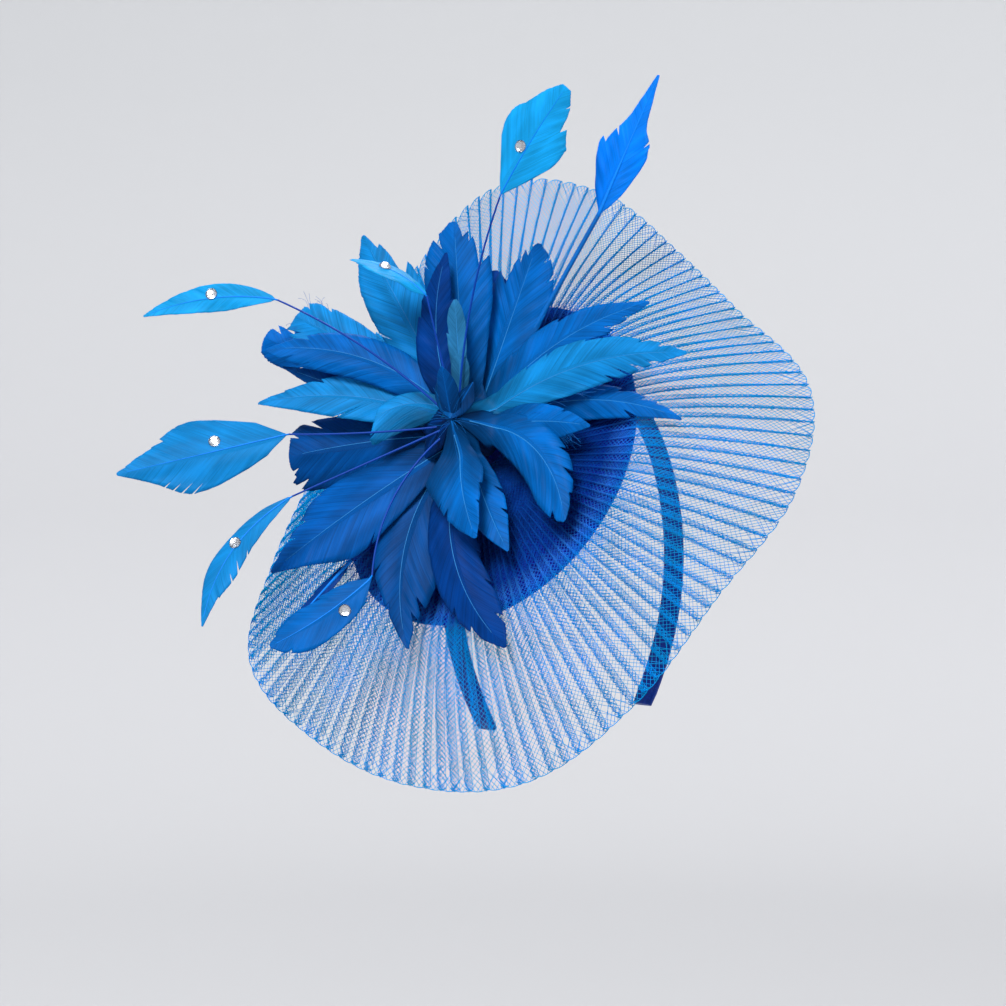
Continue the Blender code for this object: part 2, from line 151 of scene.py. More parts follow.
HEART_LOW = -8.5
HEART_HIGH = 12.5
HEART_LOW_RADIUS = 6.6
HEART_HIGH_RADIUS = 4.0
STEM_RADIUS = 3.6
STEM_AWAY = 5  # from the base's middle
STEM_CLEAR = 0.3
STEM_STEPS = 90
STEM_SIDES = 24
STEM_NECK = 0.55  # the share of the heart's radius at its lower end
STEM_WIDENS = 0.25  # for each millimetre over that, up to the whole
BINDING_PITCH = 0.9
BINDING_RIB = 0.12
BINDING_CLOTH = 30  # round the stem
LAYER_STEP = 1.25  # between the petals' roots in two layers
LAYER_LOW = -6.0
LAYER_LIFT = 3.0  # how much more steeply each layer rises, from the lowest one's
LOWEST_LIFT = 5.0
ROOT_GAP = 0.6  # from the heart
PETAL_CUP = 0.005  # how much a petal's two sides curve down
SHAPES = {  # half width along a blade, as shares of its length and of its widest
    "leaf": ((0, 0.12), (0.15, 0.6), (0.35, 0.95), (0.5, 1), (0.7, 0.82), (0.88, 0.42), (1, 0.06)),
    "oval": (
        (0, 0.12), (0.15, 0.55), (0.35, 0.85), (0.6, 1), (0.75, 0.94), (0.9, 0.58), (1, 0.08)),
    "spear": ((0, 0.08), (0.2, 0.55), (0.45, 0.9), (0.66, 1), (0.84, 0.52), (1, 0.05)),
    "drop": ((0, 0.12), (0.18, 0.75), (0.36, 1), (0.6, 0.75), (0.85, 0.42), (1, 0.06)),
    "round": ((0, 0.1), (0.15, 0.5), (0.4, 0.8), (0.74, 1), (0.92, 0.68), (1, 0.15)),
    "blunt": ((0, 0.1), (0.18, 0.5), (0.5, 0.9), (0.82, 1), (0.95, 0.92), (1, 0.7)),
    "paddle": ((0, 0.1), (0.2, 0.45), (0.42, 0.9), (0.6, 1), (0.72, 0.76), (0.86, 0.5), (1, 0.16)),
    "kite": ((0, 0.08), (0.12, 0.42), (0.3, 0.72), (0.55, 1), (0.66, 0.94), (0.8, 0.5), (1, 0.04)),
    "arrow": (
        (0, 0.12), (0.22, 0.65), (0.45, 1), (0.55, 0.85), (0.64, 0.45), (0.82, 0.22), (1, 0.05)),
}
Petal = namedtuple("Petal", "name layer turn length sweep drop twist left right shape tone")
# The tones paint light and shade: bright for lit petals, dusk, shade and deep for shaded ones.
PETALS = (
    Petal("petal_right_low", 1, 33, 86, -25, 2, -9, 8, 8, "leaf", "royal"),
    Petal("petal_right_mid", 3, 43, 92, -21, 8, 7, 11, 10, "leaf", "bright"),
    Petal("petal_right_high", 2, 61, 83, -21, 5, -6, 11, 11, "leaf", "royal"),
    Petal("petal_right_short", 4, 14, 51, -9, 6, 8, 8, 8, "leaf", "royal"),
    Petal("petal_up_right", 1, 80, 74, 1, 3, -7, 14, 14, "round", "royal"),
    Petal("petal_up_back", 0, 95, 62, 0, 2, -6, 9, 9, "round", "deep"),
    Petal("petal_up", 3, 104, 78, 0, 4, 7, 15, 14, "round", "royal"),
    Petal("petal_up_inner", 5, 128, 63, -23, 6, 9, 10, 9, "leaf", "deep"),
    Petal("petal_up_short_a", 6, 101, 43, 0, 4, -5, 5, 4, "round", "pale"),
    Petal("petal_up_short_b", 7, 98, 22, 0, 2, 6, 4, 4, "round", "pale"),
    Petal("petal_up_left", 2, 130, 90, 0, 4, -8, 14, 13, "oval", "bright"),
    Petal("petal_left_top", 1, 149, 89, 7, 4, 7, 10, 10, "blunt", "bright"),
    Petal("petal_left_back", 0, 160, 99, 4, 2, -6, 9, 9, "blunt", "royal"),
    Petal("petal_left_upper", 4, 140, 84, 28, 8, 9, 10, 10, "oval", "royal"),
    Petal("petal_left_small", 2, 170, 78, 0, 2, -7, 6, 6, "leaf", "shade"),
    Petal("petal_left_mid", 3, 162, 81, 20, 4, 6, 10, 10, "leaf", "bright"),
    Petal("petal_left_low", 1, 190, 71, 5, 4, -6, 15, 15, "blunt", "shade"),
    Petal("petal_left_strap", 6, 138, 29, 46, 4, 8, 15, 6, "blunt", "bright"),
    Petal("petal_down_left", 2, 224, 89, 3, 6, 8, 17, 17, "spear", "dusk"),
    Petal("petal_down_mid", 1, 237, 84, 33, 4, -7, 16, 13, "spear", "shade"),
    Petal("petal_down", 2, 264, 89, 33, 6, 9, 12, 12, "oval", "deep"),
    Petal("petal_front_back", 4, 300, 53, 6, 8, -8, 8, 9, "leaf", "royal"),
    Petal("petal_front", 7, 288, 46, 9, 12, 7, 10, 16, "drop", "royal"),
    Petal("petal_front_right", 5, 371, 60, -42, 12, -8, 11, 13, "oval", "royal"),
)
Leaf = namedtuple("Leaf", "turn start end lift drop sweep left right shape tone")
HEART_LEAVES = (  # over the heart, the lowest first: start and end are distances from its axis
    # The deep and dusk leaves paint the shade of the heart's hollow.
    Leaf(178, 0.4, 20.4, 0, 14, 4, 6, 6, "leaf", "deep"),
    Leaf(214, 0.4, 20.4, 0, 14, 6, 6, 7, "leaf", "deep"),
    Leaf(66, 17, 0, 12, -2, 0, 4, 4.5, "leaf", "dusk"),
    Leaf(116, 20, 0, 10, -2, 0, 5, 5.5, "leaf", "royal"),
    Leaf(96, -5, 18, 42, 4, 6, 4.4, 4.4, "oval", "dusk"),
)
LEAF_STEP = 0.3
LEAF_CUP = 0.03
CROWN_LAYER = 3  # the lowest layer whose petals' roots run up over the heart
CROWN_RADIUS = 16
CROWN_STEP = 0.2
CROWN_RISE = 0.35  # of the lowest of them
CROWN_ROOT = 0.4  # how near the flower's axis their roots begin
Arrow = namedtuple(
    "Arrow", "name turn start lift swerve stem blade bend bow roll quill left right shape tone")
ARROWS = (
    Arrow("arrow_feather_a", 86, 8, 15, 10, 83, 48, -25, 1, 0, 0.5, 16, 16, "paddle", "arrow"),
    Arrow("arrow_feather_b", 68, -7.6, 8, 0, 93, 59, 7, 0, 0, 1.2, 13, 10, "arrow", "azure"),
    Arrow("arrow_feather_c", 112, 9.6, 17, 0, 45, 34, 52, -3, 60, 0.5, 12, 5, "paddle", "arrow"),
    Arrow("arrow_feather_d", 156, 8, 15, -10, 84, 54, 42, -4, 0, 0.5, 6, 6, "leaf", "arrow"),
    Arrow("arrow_feather_e", 195, 8, 15, 4, 61, 68, 11, 0, 0, 0.5, 15, 17, "kite", "bright"),
    Arrow("arrow_feather_f", 218, 9.6, 14, 0, 64, 61, 37, -8, 0, 0.5, 8, 6, "spear", "bright"),
    Arrow("arrow_feather_g", 261, 8, 14, -28, 65, 46, -32, 2, 0, 0.5, 10, 9, "oval", "royal"),
    Arrow("arrow_feather_h", 238, -7.6, 6, 0, 62, 38, 3, 0, 0, 1.2, 3, 3, "leaf", "deep"),
)
ARROW_ROLLS_WITHIN = 0.25  # of its blade's length
CUTS = {  # notches and slits: where each starts along the blade, how deep and how wide it is
    ("petal_left_mid", LEFT): ((0.42, 0.75, 0.012),),
    ("petal_left_mid", RIGHT): ((0.6, 0.25, 0.05),),
    ("petal_left_low", RIGHT): ((0.62, 0.3, 0.05), (0.8, 0.35, 0.04)),
    ("petal_left_low", LEFT): ((0.7, 0.25, 0.06), (0.84, 0.3, 0.03)),
    ("petal_right_high", RIGHT): ((0.55, 0.3, 0.06), (0.68, 0.4, 0.05), (0.8, 0.35, 0.06)),
    ("petal_right_mid", RIGHT): (
        (0.52, 0.3, 0.03), (0.6, 0.65, 0.02), (0.68, 0.45, 0.04), (0.77, 0.5, 0.05)),
    ("petal_right_mid", LEFT): ((0.72, 0.25, 0.05), (0.84, 0.4, 0.05)),
    ("petal_right_low", RIGHT): ((0.66, 0.5, 0.05),),
    ("petal_right_low", LEFT): ((0.6, 0.3, 0.06), (0.74, 0.45, 0.06)),
    ("petal_right_short", LEFT): ((0.6, 0.3, 0.06),),
    ("petal_left_top", RIGHT): ((0.74, 0.15, 0.05), (0.88, 0.3, 0.04)),
    ("petal_left_top", LEFT): ((0.84, 0.4, 0.05),),
    ("petal_left_upper", LEFT): ((0.66, 0.3, 0.03), (0.8, 0.45, 0.05)),
    ("petal_left_upper", RIGHT): ((0.76, 0.35, 0.06),),
    ("petal_left_back", LEFT): ((0.7, 0.4, 0.03),),
    ("petal_left_back", RIGHT): ((0.8, 0.25, 0.06), (0.88, 0.45, 0.06)),
    ("petal_left_strap", LEFT): ((0.55, 0.25, 0.06),),
    ("petal_front", RIGHT): ((0.28, 0.35, 0.02), (0.42, 0.25, 0.06)),
    ("petal_front", LEFT): ((0.5, 0.25, 0.03),),
    ("petal_front_back", LEFT): ((0.3, 0.4, 0.04), (0.52, 0.35, 0.04)),
    ("petal_front_right", LEFT): ((0.45, 0.25, 0.04), (0.62, 0.35, 0.06)),
    ("petal_front_right", RIGHT): ((0.74, 0.2, 0.1),),
    ("petal_down_left", LEFT): ((0.3, 0.25, 0.015),),
    ("petal_down_left", RIGHT): ((0.6, 0.2, 0.05), (0.74, 0.3, 0.04)),
    ("petal_down_mid", RIGHT): ((0.5, 0.3, 0.02), (0.72, 0.3, 0.05)),
    ("petal_down_mid", LEFT): ((0.62, 0.3, 0.06), (0.74, 0.35, 0.08)),
    ("petal_down", RIGHT): ((0.62, 0.25, 0.04), (0.76, 0.25, 0.08)),
    ("petal_down", LEFT): ((0.5, 0.2, 0.03), (0.72, 0.25, 0.06)),
    ("petal_up", RIGHT): ((0.6, 0.3, 0.4), (0.8, 0.25, 0.06), (0.86, 0.4, 0.6)),
    ("petal_up", LEFT): ((0.55, 0.3, 0.012), (0.76, 0.35, 0.06)),
    ("petal_up_left", LEFT): ((0.35, 0.4, 0.012),),
    ("petal_up_left", RIGHT): ((0.6, 0.4, 0.5), (0.86, 0.3, 0.6)),
    ("petal_up_right", LEFT): ((0.58, 0.35, 0.42), (0.78, 0.25, 0.07), (0.87, 0.45, 0.6)),
    ("petal_up_right", RIGHT): ((0.62, 0.2, 0.03), (0.78, 0.3, 0.04)),
    ("petal_up_back", RIGHT): ((0.7, 0.4, 0.06),),
    ("arrow_feather_a", RIGHT): ((0.72, 0.3, 0.02),),
    ("arrow_feather_b", LEFT): ((0.4, 0.3, 0.03),),
    ("arrow_feather_b", RIGHT): ((0.36, 0.3, 0.02),),
    ("arrow_feather_e", LEFT): (
        (0.3, 0.6, 0.012), (0.38, 0.7, 0.012), (0.46, 0.5, 0.014), (0.55, 0.45, 0.012)),
    ("arrow_feather_f", LEFT): ((0.3, 0.5, 0.012), (0.42, 0.55, 0.015), (0.52, 0.45, 0.012)),
}
Down = namedtuple("Down", "feather side low high barbs")
LOOSE_BARBS = (  # where barbs have come loose, as shares of a petal's length
    Down("petal_right_short", RIGHT, 0.1, 0.75, 26), Down("petal_right_mid", RIGHT, 0.1, 0.4, 12),
    Down("petal_left_top", RIGHT, 0.75, 0.95, 8), Down("petal_left_top", LEFT, 0.8, 0.95, 5),
    Down("petal_front_right", LEFT, 0.05, 0.3, 8), Down("petal_left_low", LEFT, 0.1, 0.4, 8),
    Down("petal_down_mid", RIGHT, 0.05, 0.3, 8),
)
HEART_BARBS = 30  # loose barbs that stand out of the heart
HEART_BARBS_LIFT = (5, 50)
HEART_BARBS_RISE = 1.5  # of their roots over the heart
HEART_BARBS_CURL, HEART_BARBS_SIZES = 0.5, (5, 11)
LOOSE_CURL, LOOSE_SIZES = 0.6, (2, 6)
BARB_BENDS = 6  # parts of a loose barb's curl
BARB_RADIUS = 0.07
SEEDS = {"petals": 11, "leaves": 41, "arrows": 71, "barbs": 5}
FOOT_REACH = 0.45  # how far along a petal its broad foot reaches
FOOT_NARROWS = 6  # before the root, for each length of the petal
FOOT_LEAST = 0.45  # the share of it that stays
PETAL_FOOT = 0.8
PETAL_FRINGE = 0.04
BLADE_FRINGE = 0.03
FRINGE_ROOT, FRINGE_TIP = 0.3, 2.5  # how ragged a vane is all along, and how much more at its tip
BARB_STEP = 0.55
BARB_TRIES = 12  # for where it meets the outline
BARB_SLANT = 1.35  # how far a barb runs along the quill, for each millimetre away from it
LEFT_U = 500  # where a vane's left side starts in its UV map
ROOT_SHADE_REACH = 30.0  # painted darker from its root this far: painted shade, and denser dye
CLUMP_BARBS = (3, 26)
CLUMP_LIFT = 0.3  # between the two edges of a clump, at its barbs' tips
CLUMP_TRIM = 0.03
CLUMP_NICK = 0.2  # how much of its reach a nicked clump can lose at its edge
CLUMP_NICKED = 0.12  # the share of clumps that are nicked
QUILL_SIDES = 8
QUILL_STAND = 0.05  # of its middle over the vane
QUILL_TAPER = 0.8  # below 1 it is thin early
QUILL_FEEL = (0.01, 0.5)  # how far along and aside its slope is felt
PETAL_QUILL = (30, (0, 0.94), (0.24, 0.07))  # steps, from where to where, radii
ARROW_STEM = (26, (0, 1.03))  # the same, and the blade is from 1 to 2
ARROW_RIB = (24, (0.99, 1.97))
ARROW_NARROWS = 0.75  # the share of its quill's radius that is left where the blade starts
ARROW_TIP = 0.1
VANE_STRIPS = 7
VANE_THICK = 0.2
VANE_WAVE = 1.5
VANE_STIFF = 5  # how near the quill the waves are held down
VANE_RIPPLE = 0.3  # of the clumps, in the waves' height
WAVES_ALONG, WAVES_ASIDE = 2.4, 0.11  # for a vane's length, and for a millimetre aside
CLUMPS_ALONG, CLUMPS_SCALE = 80, 0.22
VANE_TENT = 0.27  # how steeply the halves of a vane fall from the quill, at most
TENT_MEAN, TENT_VARIES = 0.55, 0.45
Crystal = namedtuple("Crystal", "name feather along across")
CRYSTALS = (
    Crystal("crystal_a", "arrow_feather_a", 0.41, 0.2),
    Crystal("crystal_c", "arrow_feather_c", 0.6, 0),
    Crystal("crystal_d", "arrow_feather_d", 0.48, -0.3),
    Crystal("crystal_e", "arrow_feather_e", 0.42, -0.3),
    Crystal("crystal_f", "arrow_feather_f", 0.43, -0.2),
    Crystal("crystal_g", "arrow_feather_g", 0.34, 0.4),
)
CRYSTAL_FEEL = 0.05  # how far ahead on the blade its slope is felt
CRYSTAL_LIFT = 0.3
Ring = namedtuple("Ring", "sides radius height turned")
STONE_RINGS = (
    Ring(16, 2.4, 0, False), Ring(16, 2.4, 0.3, False),
    Ring(8, 1.95, 1.0, True), Ring(8, 1.25, 1.6, True))

LOOK_AT = Vector((-58.8, -15.1, -55.2))
CAMERA_AZIMUTH = -49
CAMERA_ELEVATION = 3
CAMERA_AWAY = 1.1  # metres
CAMERA_LENS = 98.4
CAMERA_SENSOR = 36
CAMERA_CLIP = (0.05, 20)
FLOOR_HEIGHT = -620
STAGE_RADIUS = 3200
STAGE_COVE = 1200
STAGE_WALL = 2500
STAGE_TURNS = 64
STAGE_STEPS = (6, 12, 6)  # on the floor, round the cove and up the wall
PAPER_REACH = 0.6  # metres below and above the origin that its tones span
# Painted light: the paper is darker a little above the floor and lighter high up, evening out the
# suns.
PAPER_PAINTED_TONES = (  # the two ends first
    (0, (0.507, 0.509, 0.524, 1)), (1, (0.553, 0.56, 0.573, 1)), (0.32, (0.472, 0.474, 0.49, 1)))
LIGHTS = (  # name, to the camera, to its right, up, width in degrees, strength
    ("key", 0.75, -0.4, 0.85, 25, 3.0),
    ("fill", 0.6, 0.8, 0.55, 50, 0.7),
    ("rear", -0.8, 0.3, 0.9, 40, 1.8),
)
SKY = (0.95, 0.97, 1, 1)
SKY_STRENGTH = 0.5


def dye(name, description, default):
    """A colour that a user can change."""
    return FloatVectorProperty(
        name=name, description=description, default=default, subtype="COLOR", size=3)


class NetSizes(bpy.types.PropertyGroup):
    thread: FloatProperty(
        name="Thread", description="Radius of the net's thread", default=0.13 * MM, unit="LENGTH")
    fold: FloatProperty(
        name="Fold", description="Radius of the gathered threads along each fold",
        default=0.18 * MM, unit="LENGTH")
    strands: IntProperty(
        name="Strands", description="Threads that run each way round the net", default=690, min=8)
    colour: dye("Colour", "Colour of the net", (0, 0.2, 0.92))
    through: dye("Through", "Colour of the light that comes through the net", (0.05, 0.93, 1))
    fold_colour: dye("Fold colour", "Colour of the net gathered in a fold", (0, 0.25, 0.95))


class FeatherLooks(bpy.types.PropertyGroup):
    # deep, shade and dusk: royal painted darker, as shade; bright: royal painted lighter, as light
    deep: dye("Deep", "Colour of the darkest feathers", (0, 0.046, 0.26))
    shade: dye("Shade", "Colour of the lower feathers", (0, 0.072, 0.3))
    dusk: dye("Dusk", "Colour between the lower feathers' and most feathers'", (0, 0.105, 0.43))
    royal: dye("Royal", "Colour of most feathers", (0, 0.135, 0.5))
    bright: dye("Bright", "Colour of the lighter feathers", (0.006, 0.25, 0.63))
    pale: dye("Pale", "Colour of the two short pale feathers", (0.025, 0.2, 0.43))
    arrow: dye("Arrow", "Colour of the arrow feathers", (0.008, 0.38, 0.8))
    azure: dye("Azure", "Colour of the arrow feather that shows its back", (0.001, 0.24, 0.9))
    quill: dye("Quill", "Colour of the petals' quills", (0.03, 0.27, 0.66))
    stripped: dye("Stripped", "Colour of the arrow feathers' bare quills", (0, 0.05, 0.36))


class BandLooks(bpy.types.PropertyGroup):
    satin: dye("Satin", "Colour of the band's satin", (0, 0.035, 0.3))
    straw: dye("Straw", "Colour of the base's straw cloth", (0, 0.013, 0.4))


def polar(radius, turn, height=0):
    """A point at a radius and an angle round Z."""
    return Vector((radius * math.cos(turn), radius * math.sin(turn), height))


def frame_matrix(origin, front, out):
    """X along the front, as nearly as Z out of the face allows, in millimetres."""
    z = out.normalized()
    x = (front - z * front.dot(z)).normalized()
    y = z.cross(x)
    return Matrix.Translation(origin) @ Matrix((x, y, z)).transposed().to_4x4()


def disc_frame():
    lean = math.radians(BASE_LEAN)
    out = Vector((-math.cos(lean), 0, math.sin(lean)))
    return frame_matrix(DISC_MIDDLE, Vector((0, -1, 0)), out)


def flower_frame():
    lean, turn = math.radians(FLOWER_LEAN), math.radians(FLOWER_LEAN_TURN)
    out = polar(math.sin(lean), turn, math.cos(lean))
    return disc_frame() @ frame_matrix(FLOWER_STEM, Vector((1, 0, 0)), out)


def noise_at(*place):
    return noise.noise(Vector(place))


def smooth_of(rows, share):
    """A smooth curve through a table of (share, value) rows, and 0 past its end."""
    if share > rows[-1][0]:
        return 0
    at = next(i for i in range(len(rows) - 1) if share <= rows[i + 1][0])
    (low, first), (high, second) = rows[at], rows[at + 1]
    before, after = rows[max(at - 1, 0)], rows[min(at + 2, len(rows) - 1)]
    part = (share - low) / (high - low)
    rise = (second - before[1]) / (high - before[0]) * (high - low)
    fall = (after[1] - first) / (after[0] - low) * (high - low)
    square, cube = part**2, part**3
    value = (2 * cube - 3 * square + 1) * first + (cube - 2 * square + part) * rise
    return max(0, value + (3 * square - 2 * cube) * second + (cube - square) * fall)


def add(tree, kind, inputs=None, **settings):
    """Adds a shader node. An input is a value or the socket that feeds it."""
    made = tree.nodes.new(kind)
    for name, value in settings.items():
        setattr(made, name, value)
    for name, value in (inputs or {}).items():
        if isinstance(value, bpy.types.NodeSocket):
            tree.links.new(value, made.inputs[name])
        else:
            made.inputs[name].default_value = value
    return made


def shader_group(name, inputs, outputs):
    """An empty group of shader nodes with its sockets, and its two end nodes."""
    tree = bpy.data.node_groups.new(name, "ShaderNodeTree")
    for socket, kind, value in inputs:
        made = tree.interface.new_socket(socket, in_out="INPUT", socket_type=kind)
        if value is not None:
            made.default_value = value
    for socket, kind in outputs:
        tree.interface.new_socket(socket, in_out="OUTPUT", socket_type=kind)
    return tree, tree.nodes.new("NodeGroupInput"), tree.nodes.new("NodeGroupOutput")


def ramp(tree, feed, *stops):
    """A colour ramp, each stop a position and a colour, with the two ends first."""
    made = add(tree, "ShaderNodeValToRGB", {"Fac": feed})
    elements = made.color_ramp.elements
    for end, (position, colour) in zip(elements, stops):
        end.position, end.color = position, colour
    for position, colour in stops[2:]:
        elements.new(position).color = colour
    return made.outputs["Color"]


def barb_group():
    """Streaks along a feather's barbs, from a UV map in millimetres along the quill and from it.

    The feather is painted darker at its root, where the vane's u starts: painted shade of the
    crowded heart, and denser dye there.
    """
    known = bpy.data.node_groups.get("Barbs")
    if known:
        return known
    tree, given, result = shader_group(
        "Barbs",
        [("UV", "NodeSocketVector", None), ("Dark", "NodeSocketColor", None),
         ("Light", "NodeSocketColor", None), ("Root", "NodeSocketFloat", 1.0)],
        [("Colour", "NodeSocketColor"), ("Height", "NodeSocketFloat")])

    def streaks(along, away, detail):
        scaled = add(tree, "ShaderNodeVectorMath", {0: given.outputs["UV"], 1: (along, away, 1)},
                     operation="MULTIPLY")
        return add(tree, "ShaderNodeTexNoise", {
            "Vector": scaled.outputs[0], "Scale": 1, "Detail": detail}).outputs["Fac"]

    fine, wide, broad = streaks(1.3, 0.04, 4), streaks(0.4, 0.03, 2), streaks(0.06, 0.1, 1)
    mixed = add(tree, "ShaderNodeMix", {"Factor": 0.4, "A": fine, "B": wide})
    tone = add(tree, "ShaderNodeMix", {"Factor": 0.5, "A": mixed.outputs[0], "B": broad})
    gaps = add(tree, "ShaderNodeMapRange", {
        "Value": streaks(0.9, 0.02, 0), "From Min": 0.66, "From Max": 0.74, "To Max": 0.8})
    split = add(tree, "ShaderNodeMix", {
        "Factor": gaps.outputs[0], "A": tone.outputs[0], "B": 0.36})
    ranged = add(tree, "ShaderNodeMapRange", {
        "Value": split.outputs[0], "From Min": 0.4, "From Max": 0.6})
    colour = add(tree, "ShaderNodeMix", data_type="RGBA")
    for name, socket in (("Factor", ranged.outputs[0]), ("A", given.outputs["Dark"]),
                         ("B", given.outputs["Light"])):
        tree.links.new(socket, next(i for i in colour.inputs if i.name == name and i.enabled))
    parts = add(tree, "ShaderNodeSeparateXYZ", {0: given.outputs["UV"]})
    along = add(tree, "ShaderNodeMath", {0: parts.outputs["X"], 1: LEFT_U}, operation="MODULO")
    # Painted shade: the colour is scaled down to the root's share at the vane's root.
    root = add(tree, "ShaderNodeMapRange", {
        "Value": along.outputs[0], "From Max": ROOT_SHADE_REACH, "To Min": given.outputs["Root"]},
        interpolation_type="SMOOTHSTEP")
    rooted = add(tree, "ShaderNodeVectorMath", {0: next(o for o in colour.outputs if o.enabled)},
                 operation="SCALE")
    tree.links.new(root.outputs[0], rooted.inputs["Scale"])
    tree.links.new(rooted.outputs[0], result.inputs["Colour"])
    tree.links.new(mixed.outputs[0], result.inputs["Height"])
    return tree


def weave_group():
    """Threads over and under each other, from a UV map in millimetres."""
    known = bpy.data.node_groups.get("Weave")
    if known:
        return known
    tree, given, result = shader_group(
        "Weave",
        [("UV", "NodeSocketVector", None), ("Threads", "NodeSocketFloat", 2.0)],
        [("Height", "NodeSocketFloat"), ("Slub", "NodeSocketFloat")])
    scaled = add(tree, "ShaderNodeVectorMath", {0: given.outputs["UV"]}, operation="SCALE")
    tree.links.new(given.outputs["Threads"], scaled.inputs["Scale"])
    warp, weft = (
        add(tree, "ShaderNodeTexWave", {
            "Vector": scaled.outputs[0], "Scale": 0.5, "Distortion": 0.6, "Detail Scale": 0.6},
            bands_direction=way).outputs["Fac"] for way in ("X", "Y"))
    checks = add(tree, "ShaderNodeTexChecker", {"Vector": scaled.outputs[0], "Scale": 1})
    height = add(tree, "ShaderNodeMix", {
        "Factor": checks.outputs["Fac"], "A": warp, "B": weft})
    slub = add(tree, "ShaderNodeTexNoise", {
        "Vector": scaled.outputs[0], "Scale": 0.35, "Detail": 3})
    tree.links.new(height.outputs[0], result.inputs["Height"])
    tree.links.new(slub.outputs["Fac"], result.inputs["Slub"])
    return tree


def new_material(name, **values):
    """A material with a Principled shader, whose sockets take the values given."""
    material = bpy.data.materials.new(name)
    material.use_nodes = True
    shader = material.node_tree.nodes["Principled BSDF"]
    for socket, value in values.items():
        shader.inputs[socket.replace("_", " ")].default_value = value
    return material, material.node_tree, shader


def light_through(material, shader, colour, share):
    """Lets light through a thin piece, in its own colour."""
    tree = material.node_tree
    through = add(tree, "ShaderNodeBsdfTranslucent", {"Color": colour})
    mixed = add(tree, "ShaderNodeMixShader", {
        0: share, 1: shader.outputs[0], 2: through.outputs[0]})
    tree.links.new(mixed.outputs[0], tree.nodes["Material Output"].inputs["Surface"])


def cover(tree, shader, colour, height, depth):
    """Gives the shader its colour and a bump that is this deep, in millimetres."""
    bump = add(tree, "ShaderNodeBump", {
        "Strength": 0.6, "Distance": depth * MM, "Height": height})
    tree.links.new(colour, shader.inputs["Base Color"])
    tree.links.new(bump.outputs[0], shader.inputs["Normal"])


def shaded(colour, share):
    return tuple(channel * share for channel in colour) + (1,)


def feather_material(name, colour, dark, light, root):
    """Silky barbs, from dark to light shares of the colour, and a root share of painted shade."""
    material, tree, shader = new_material(
        name, Roughness=0.45, Specular_IOR_Level=0.06, Sheen_Weight=0.03, Sheen_Roughness=0.4,
        Sheen_Tint=(0.1, 0.5, 1, 1))
    place = add(tree, "ShaderNodeUVMap", uv_map="UVMap")
    barbs = add(tree, "ShaderNodeGroup", {
        "UV": place.outputs[0], "Dark": shaded(colour, dark), "Light": shaded(colour, light),
        "Root": root}, node_tree=barb_group())
    cover(tree, shader, barbs.outputs["Colour"], barbs.outputs["Height"], depth=0.4)
    light_through(material, shader, barbs.outputs["Colour"], share=0.25)
    return material


def feather_materials(kind, looks, tones, **shares):
    """A feather's material in each of the tones."""
    return {tone: feather_material(f"{kind}_{tone}", getattr(looks, tone), **shares)
            for tone in tones}


def quill_material(name, colour):
    material, tree, shader = new_material(name, Roughness=0.4, Specular_IOR_Level=0.15)
    place = add(tree, "ShaderNodeTexCoord")
    grain = add(tree, "ShaderNodeTexNoise", {"Vector": place.outputs["Object"], "Scale": 400})
    tone = ramp(tree, grain.outputs["Fac"], (0, shaded(colour, 0.75)), (1, shaded(colour, 1.15)))
    tree.links.new(tone, shader.inputs["Base Color"])
    return material


def thread_material(name, colour, through):
    """Clear monofilament, a little uneven in its dye, that glows where the base isn't behind it.

    Over the base its light through is painted darker, and near the flower its colour is too:
    painted shade of the petals. Half way over the base its colour is painted lighter: painted
    light.
    """
    material, tree, shader = new_material(name, Roughness=0.35, Specular_IOR_Level=0.03)
    place = add(tree, "ShaderNodeTexCoord").outputs["Object"]
    patches = add(tree, "ShaderNodeTexNoise", {"Vector": place, "Scale": 60, "Detail": 2})
    white = (1, 1, 1)
    tone = ramp(
        tree, patches.outputs["Fac"], (0.35, shaded(white, 0.8)), (0.65, shaded(white, 1.1)))
    away = add(tree, "ShaderNodeVectorMath", {0: place, 1: tuple(DISC_MIDDLE * MM)},
               operation="DISTANCE")
    # Painted shade and light: the net's colour and its light through change with distance from the
    # middle.
    clear = add(tree, "ShaderNodeMapRange", {
        "Value": away.outputs["Value"], "From Min": NET_SHADE_RADIUS * MM, "From Max": NET_UNSHADED_RADIUS * MM})
    near, half_way = NET_PAINTED_FACE
    face = ramp(tree, clear.outputs[0],
                (0, shaded(near, 1)), (1, shaded(colour, 1)), (0.5, shaded(half_way, 1)))
    near, half_way = (
        tuple(channel * share for channel, share in zip(through, shares)) for shares in NET_PAINTED_GLOW)
    glow = ramp(tree, clear.outputs[0],
                (0, shaded(near, 1)), (1, shaded(through, 1)), (0.5, shaded(half_way, 1)))
    dyed = add(tree, "ShaderNodeVectorMath", {0: face, 1: tone}, operation="MULTIPLY")
    tree.links.new(dyed.outputs[0], shader.inputs["Base Color"])
    light_through(material, shader, glow, share=0.6)
    return material


def cloth_material(name, colour, threads, sheen, rough, depth):
    """Woven cloth, with the number of threads for each millimetre."""
    material, tree, shader = new_material(
        name, Roughness=rough, Specular_IOR_Level=0.2, Sheen_Weight=sheen,
        Sheen_Tint=(0.1, 0.4, 1, 1))
    place = add(tree, "ShaderNodeUVMap", uv_map="UVMap")
    weave = add(tree, "ShaderNodeGroup", {"UV": place.outputs[0], "Threads": threads},
                node_tree=weave_group())
    tone = ramp(
        tree, weave.outputs["Slub"], (0.3, shaded(colour, 0.7)), (0.7, shaded(colour, 1.3)))
    cover(tree, shader, tone, weave.outputs["Height"], depth)
    return material


def new_object(name, data):
    made = bpy.data.objects.new(name, data)
    bpy.context.scene.collection.objects.link(made)
    return made


